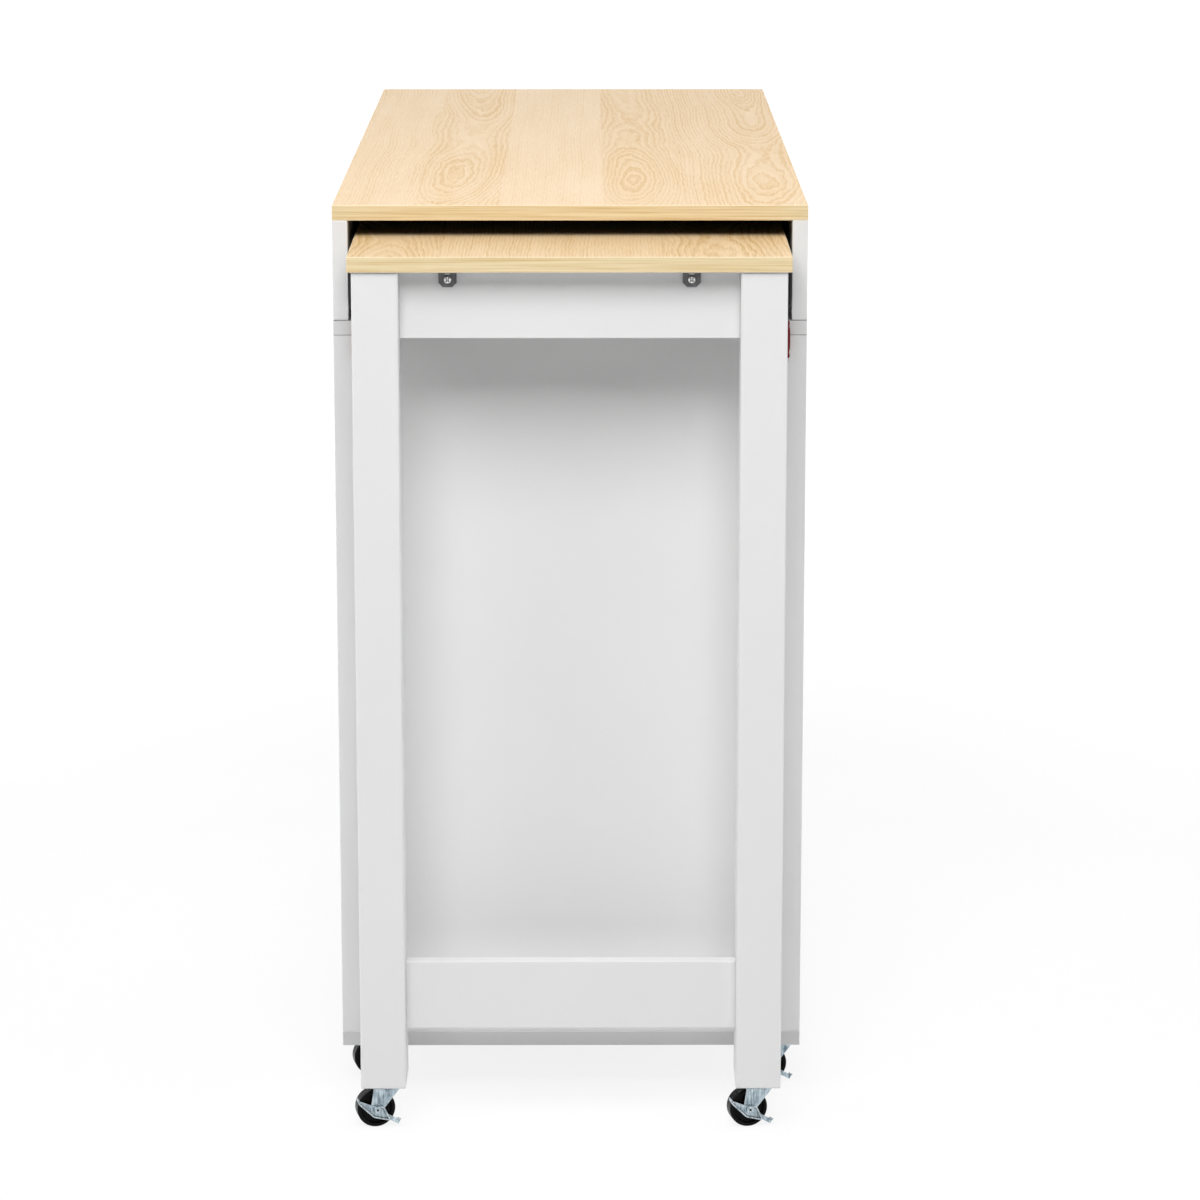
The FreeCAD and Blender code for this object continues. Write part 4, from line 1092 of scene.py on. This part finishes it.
@dataclass
class Fixings:
    """Screws in the hinge leaves, and the cam locks that hold the boards together.

    Steel is the finish of their heads, and dark, a near-black finish on the floors of their
    recesses, is painted shade.
    """

    steel: Material
    dark: Material
    screw: CrossHeads = CrossHeads(5.2, 0.10)
    cam: CrossHeads = CrossHeads(15.0, 0.35, span=0.66, bar=0.15)
    screw_rise: float = 11.0 * MM
    screw_inset: float = 5.8 * MM
    leaf_height: float = 50.0 * MM
    leaf_gap: float = 0.4 * MM
    shelf_thickness: float = 15.0 * MM
    cam_inset: float = 34.0 * MM
    cam_sides: tuple[float, float] = (-0.150, 0.172)
    cam_panels: tuple[tuple[str, float], ...] = (
        ("near_end_panel", -1.0), ("far_end_panel", 1.0), ("divider_panel", -1.0),
    )

    def build(self) -> None:
        """Make the fixings of each body."""
        self._hinges()
        self._cams()

    def _hinges(self) -> None:
        """Put two screws in each hinge leaf, on the face towards the other leaf."""
        carcass: list[Spot] = []
        for body, way in (("far_door", 1.0), ("near_door", -1.0)):
            low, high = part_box(f"{body}_hinge_leaves")
            axis = (low[Axis.ALONG] + high[Axis.ALONG]) / 2
            deep = high[Axis.ACROSS] - self.screw_inset
            foot, head = low[Axis.UP], high[Axis.UP]
            leaves = ((foot, foot + self.leaf_height), (head - self.leaf_height, head))
            levels = [level for start, end in leaves
                      for level in (start + self.screw_rise, end - self.screw_rise)]
            off = way * self.leaf_gap / 2
            carcass += [Spot((axis - off, deep, level), (way, 0.0, 0.0)) for level in levels]
            door = [Spot((axis + off, deep, level), (-way, 0.0, 0.0)) for level in levels]
            self._ride(self.screw, f"{body}_hinge_screws", door, body)
        self._ride(self.screw, "carcass_hinge_screws", carcass, "carcass")

    def _cams(self) -> None:
        """Put cam locks in the upright panels, under the fixed shelves and behind the leg rails."""
        carcass: list[Spot] = []
        for node, way in self.cam_panels:
            low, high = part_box(node)
            face = high[Axis.ALONG] if way > 0 else low[Axis.ALONG]
            levels = (low[Axis.UP] + self.cam_inset, high[Axis.UP] - self.cam_inset)
            carcass += [Spot((face, side, level), (way, 0.0, 0.0))
                        for side in self.cam_sides for level in levels]
        low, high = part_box("open_bay_shelves")
        ends = (low[Axis.ALONG] + self.cam_inset, high[Axis.ALONG] - self.cam_inset)
        for level in (low[Axis.UP], high[Axis.UP] - self.shelf_thickness):
            carcass += [Spot((end, side, level), (0.0, 0.0, -1.0))
                        for side in self.cam_sides for end in ends]
        self._ride(self.cam, "carcass_cam_locks", carcass, "carcass")
        table: list[Spot] = []
        for node in ("table_apron", "leg_stretcher"):
            low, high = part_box(node)
            level = (low[Axis.UP] + high[Axis.UP]) / 2
            sides = (low[Axis.ACROSS] + self.cam_inset, high[Axis.ACROSS] - self.cam_inset)
            table += [Spot((low[Axis.ALONG], side, level), (-1.0, 0.0, 0.0)) for side in sides]
        self._ride(self.cam, "table_cam_locks", table, "table")

    def _ride(self, heads: CrossHeads, name: str, spots: Sequence[Spot], body: str) -> None:
        """Make one piece of heads, hand it to its body and name its finish.

        Args:
            heads: The kind of head.
            name: The piece's name.
            spots: Where the heads sit.
            body: The body that the piece moves with.
        """
        piece = heads.build(name, spots, self.steel, self.dark)
        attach(piece, body)


@dataclass(frozen=True)
class Softbox:
    """A square lamp that faces a point of the part.

    Turn is the angle round from the camera's side of the part, with the doors' side positive.
    Mirrored tells whether shiny surfaces show the lamp.
    """

    name: str
    watts: float
    side: float
    reach: float
    turn: float
    height: float
    mirrored: bool = False

    def hang(self, target: Vector) -> None:
        """Hang the lamp.

        Args:
            target: The point that it faces.
        """
        turn, height = math.radians(self.turn), math.radians(self.height)
        flat = math.cos(height)
        away = Vector((flat * math.cos(turn), -flat * math.sin(turn), math.sin(height)))
        lamp = bpy.data.lights.new(self.name, "AREA")
        lamp.energy = self.watts
        lamp.size = self.side
        holder = put(self.name, lamp)
        holder.location = target + away * self.reach
        holder.rotation_euler = (-away).to_track_quat("-Z", "Y").to_euler()
        holder.visible_camera = False
        holder.visible_glossy = self.mirrored


@dataclass
class Studio:
    """Pale floor, soft light and the camera at the photograph's angle."""

    camera_place: Point = (4.610, 0.027, 1.427)
    pitch: float = math.radians(12.58)
    yaw: float = math.radians(0.18)
    lens: float = 128.9
    sensor: float = 36.0
    floor_reach: float = 60.0
    floor_colour: Colour = (0.75, 0.75, 0.75)
    floor_glow: float = 0.80
    floor_white: float = 1.06
    floor_fade: Range = (0.9, 2.4)
    ceiling: Range = (0.42, 0.75)
    ambient: float = 0.19
    target: Point = (0.3, 0.0, 0.45)
    lamps: tuple[Softbox, ...] = (
        Softbox("key_lamp", 133.0, 2.2, 4.4, 3.0, 45.0),
        Softbox("left_lamp", 42.0, 2.6, 4.4, 66.0, 42.0, mirrored=True),
        Softbox("right_lamp", 33.0, 2.6, 4.4, -66.0, 42.0, mirrored=True),
        Softbox("door_side_lamp", 68.0, 2.6, 4.4, 110.0, 13.0),
        Softbox("back_side_lamp", 68.0, 2.6, 4.4, -110.0, 13.0),
        Softbox("far_end_lamp", 66.0, 2.6, 4.6, 180.0, 13.0),
    )

    def build(self) -> None:
        """Set up the floor, the light and the camera."""
        self._floor()
        self._world()
        self._lamps()
        self._camera()
        bpy.context.scene.view_settings.view_transform = "Standard"

    def _seen(self, sheet: NodeSheet) -> Socket:
        """Tell rays that show a surface to the viewer from those that light it.

        Args:
            sheet: The node tree to add to.

        Returns:
            A socket that is 1 for camera, glossy and transmission rays.
        """
        path = sheet.add("LightPath")
        total = path.outputs["Is Camera Ray"]
        for name in ("Is Glossy Ray", "Is Transmission Ray"):
            total = sheet.calc("MAXIMUM", total, path.outputs[name])
        return total

    def _floor(self) -> None:
        """Lay a pale floor under the part."""
        reach = self.floor_reach
        mesh = bpy.data.meshes.new("floor")
        sides = ((-reach, -reach), (reach, -reach), (reach, reach), (-reach, reach))
        mesh.from_pydata([(x, y, 0.0) for x, y in sides], [], [range(len(sides))])
        floor = put("floor", mesh)
        mesh.materials.append(self._paper())

    def _paper(self) -> Material:
        """Make the floor's finish, which shows almost white and keeps a soft shadow.

        Returns:
            The finished material.
        """
        material = bpy.data.materials.new("floor_paper")
        material.use_nodes = True
        material.node_tree.nodes.clear()
        sheet = NodeSheet(material.node_tree)
        paper = sheet.add("BsdfDiffuse", {"Color": rgba(self.floor_colour)})
        glow = sheet.add("Emission", {"Strength": self.floor_white})
        place = sheet.add("TexCoord").outputs["Object"]
        away = sheet.add("VectorMath", {0: place}, operation="LENGTH").outputs["Value"]
        fade = sheet.remap(away, *self.floor_fade, self.floor_glow, 1.0)
        share = sheet.calc("MULTIPLY", self._seen(sheet), fade)
        mix = sheet.add("MixShader", {0: share, 1: paper.outputs[0], 2: glow.outputs[0]})
        sheet.add("OutputMaterial", {"Surface": mix.outputs[0]})
        return material

    def _world(self) -> None:
        """Light the part from a pale ceiling with dim walls, and show white behind it."""
        world = bpy.data.worlds.new("studio")
        bpy.context.scene.world = world
        world.use_nodes = True
        sheet = NodeSheet(world.node_tree)
        rise = sheet.part(sheet.add("TexCoord").outputs["Generated"], "Z")
        ceiling = sheet.remap(rise, *self.ceiling, 0.0, self.ambient)
        strength = sheet.remap(self._seen(sheet), 0.0, 1.0, ceiling, 1.0)
        back = sheet.tree.nodes["Background"]
        sheet.feed(rgba((1.0, 1.0, 1.0)), back.inputs["Color"])
        sheet.feed(strength, back.inputs["Strength"])

    def _lamps(self) -> None:
        """Hang the key above the camera's side, and weaker lamps round the other sides."""
        for lamp in self.lamps:
            lamp.hang(Vector(self.target))

    def _camera(self) -> None:
        """Stand the camera where the photograph was taken from."""
        data = bpy.data.cameras.new("camera")
        data.lens = self.lens
        data.sensor_width = self.sensor
        camera = put("camera", data)
        camera.location = self.camera_place
        level = math.pi / 2
        camera.rotation_euler = Euler((level - self.pitch, 0.0, level - self.yaw), "XYZ")
        bpy.context.scene.camera = camera


def main() -> None:
    """Load the frame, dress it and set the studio."""
    logging.basicConfig(level=logging.INFO, format="%(name)s: %(message)s")
    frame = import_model()
    WoodBoards().dress(frame)
    WhiteBoards().dress(frame)
    Hardware().dress(frame)
    Studio().build()
    bpy.context.view_layer.update()


if __name__ == "__main__":
    main()
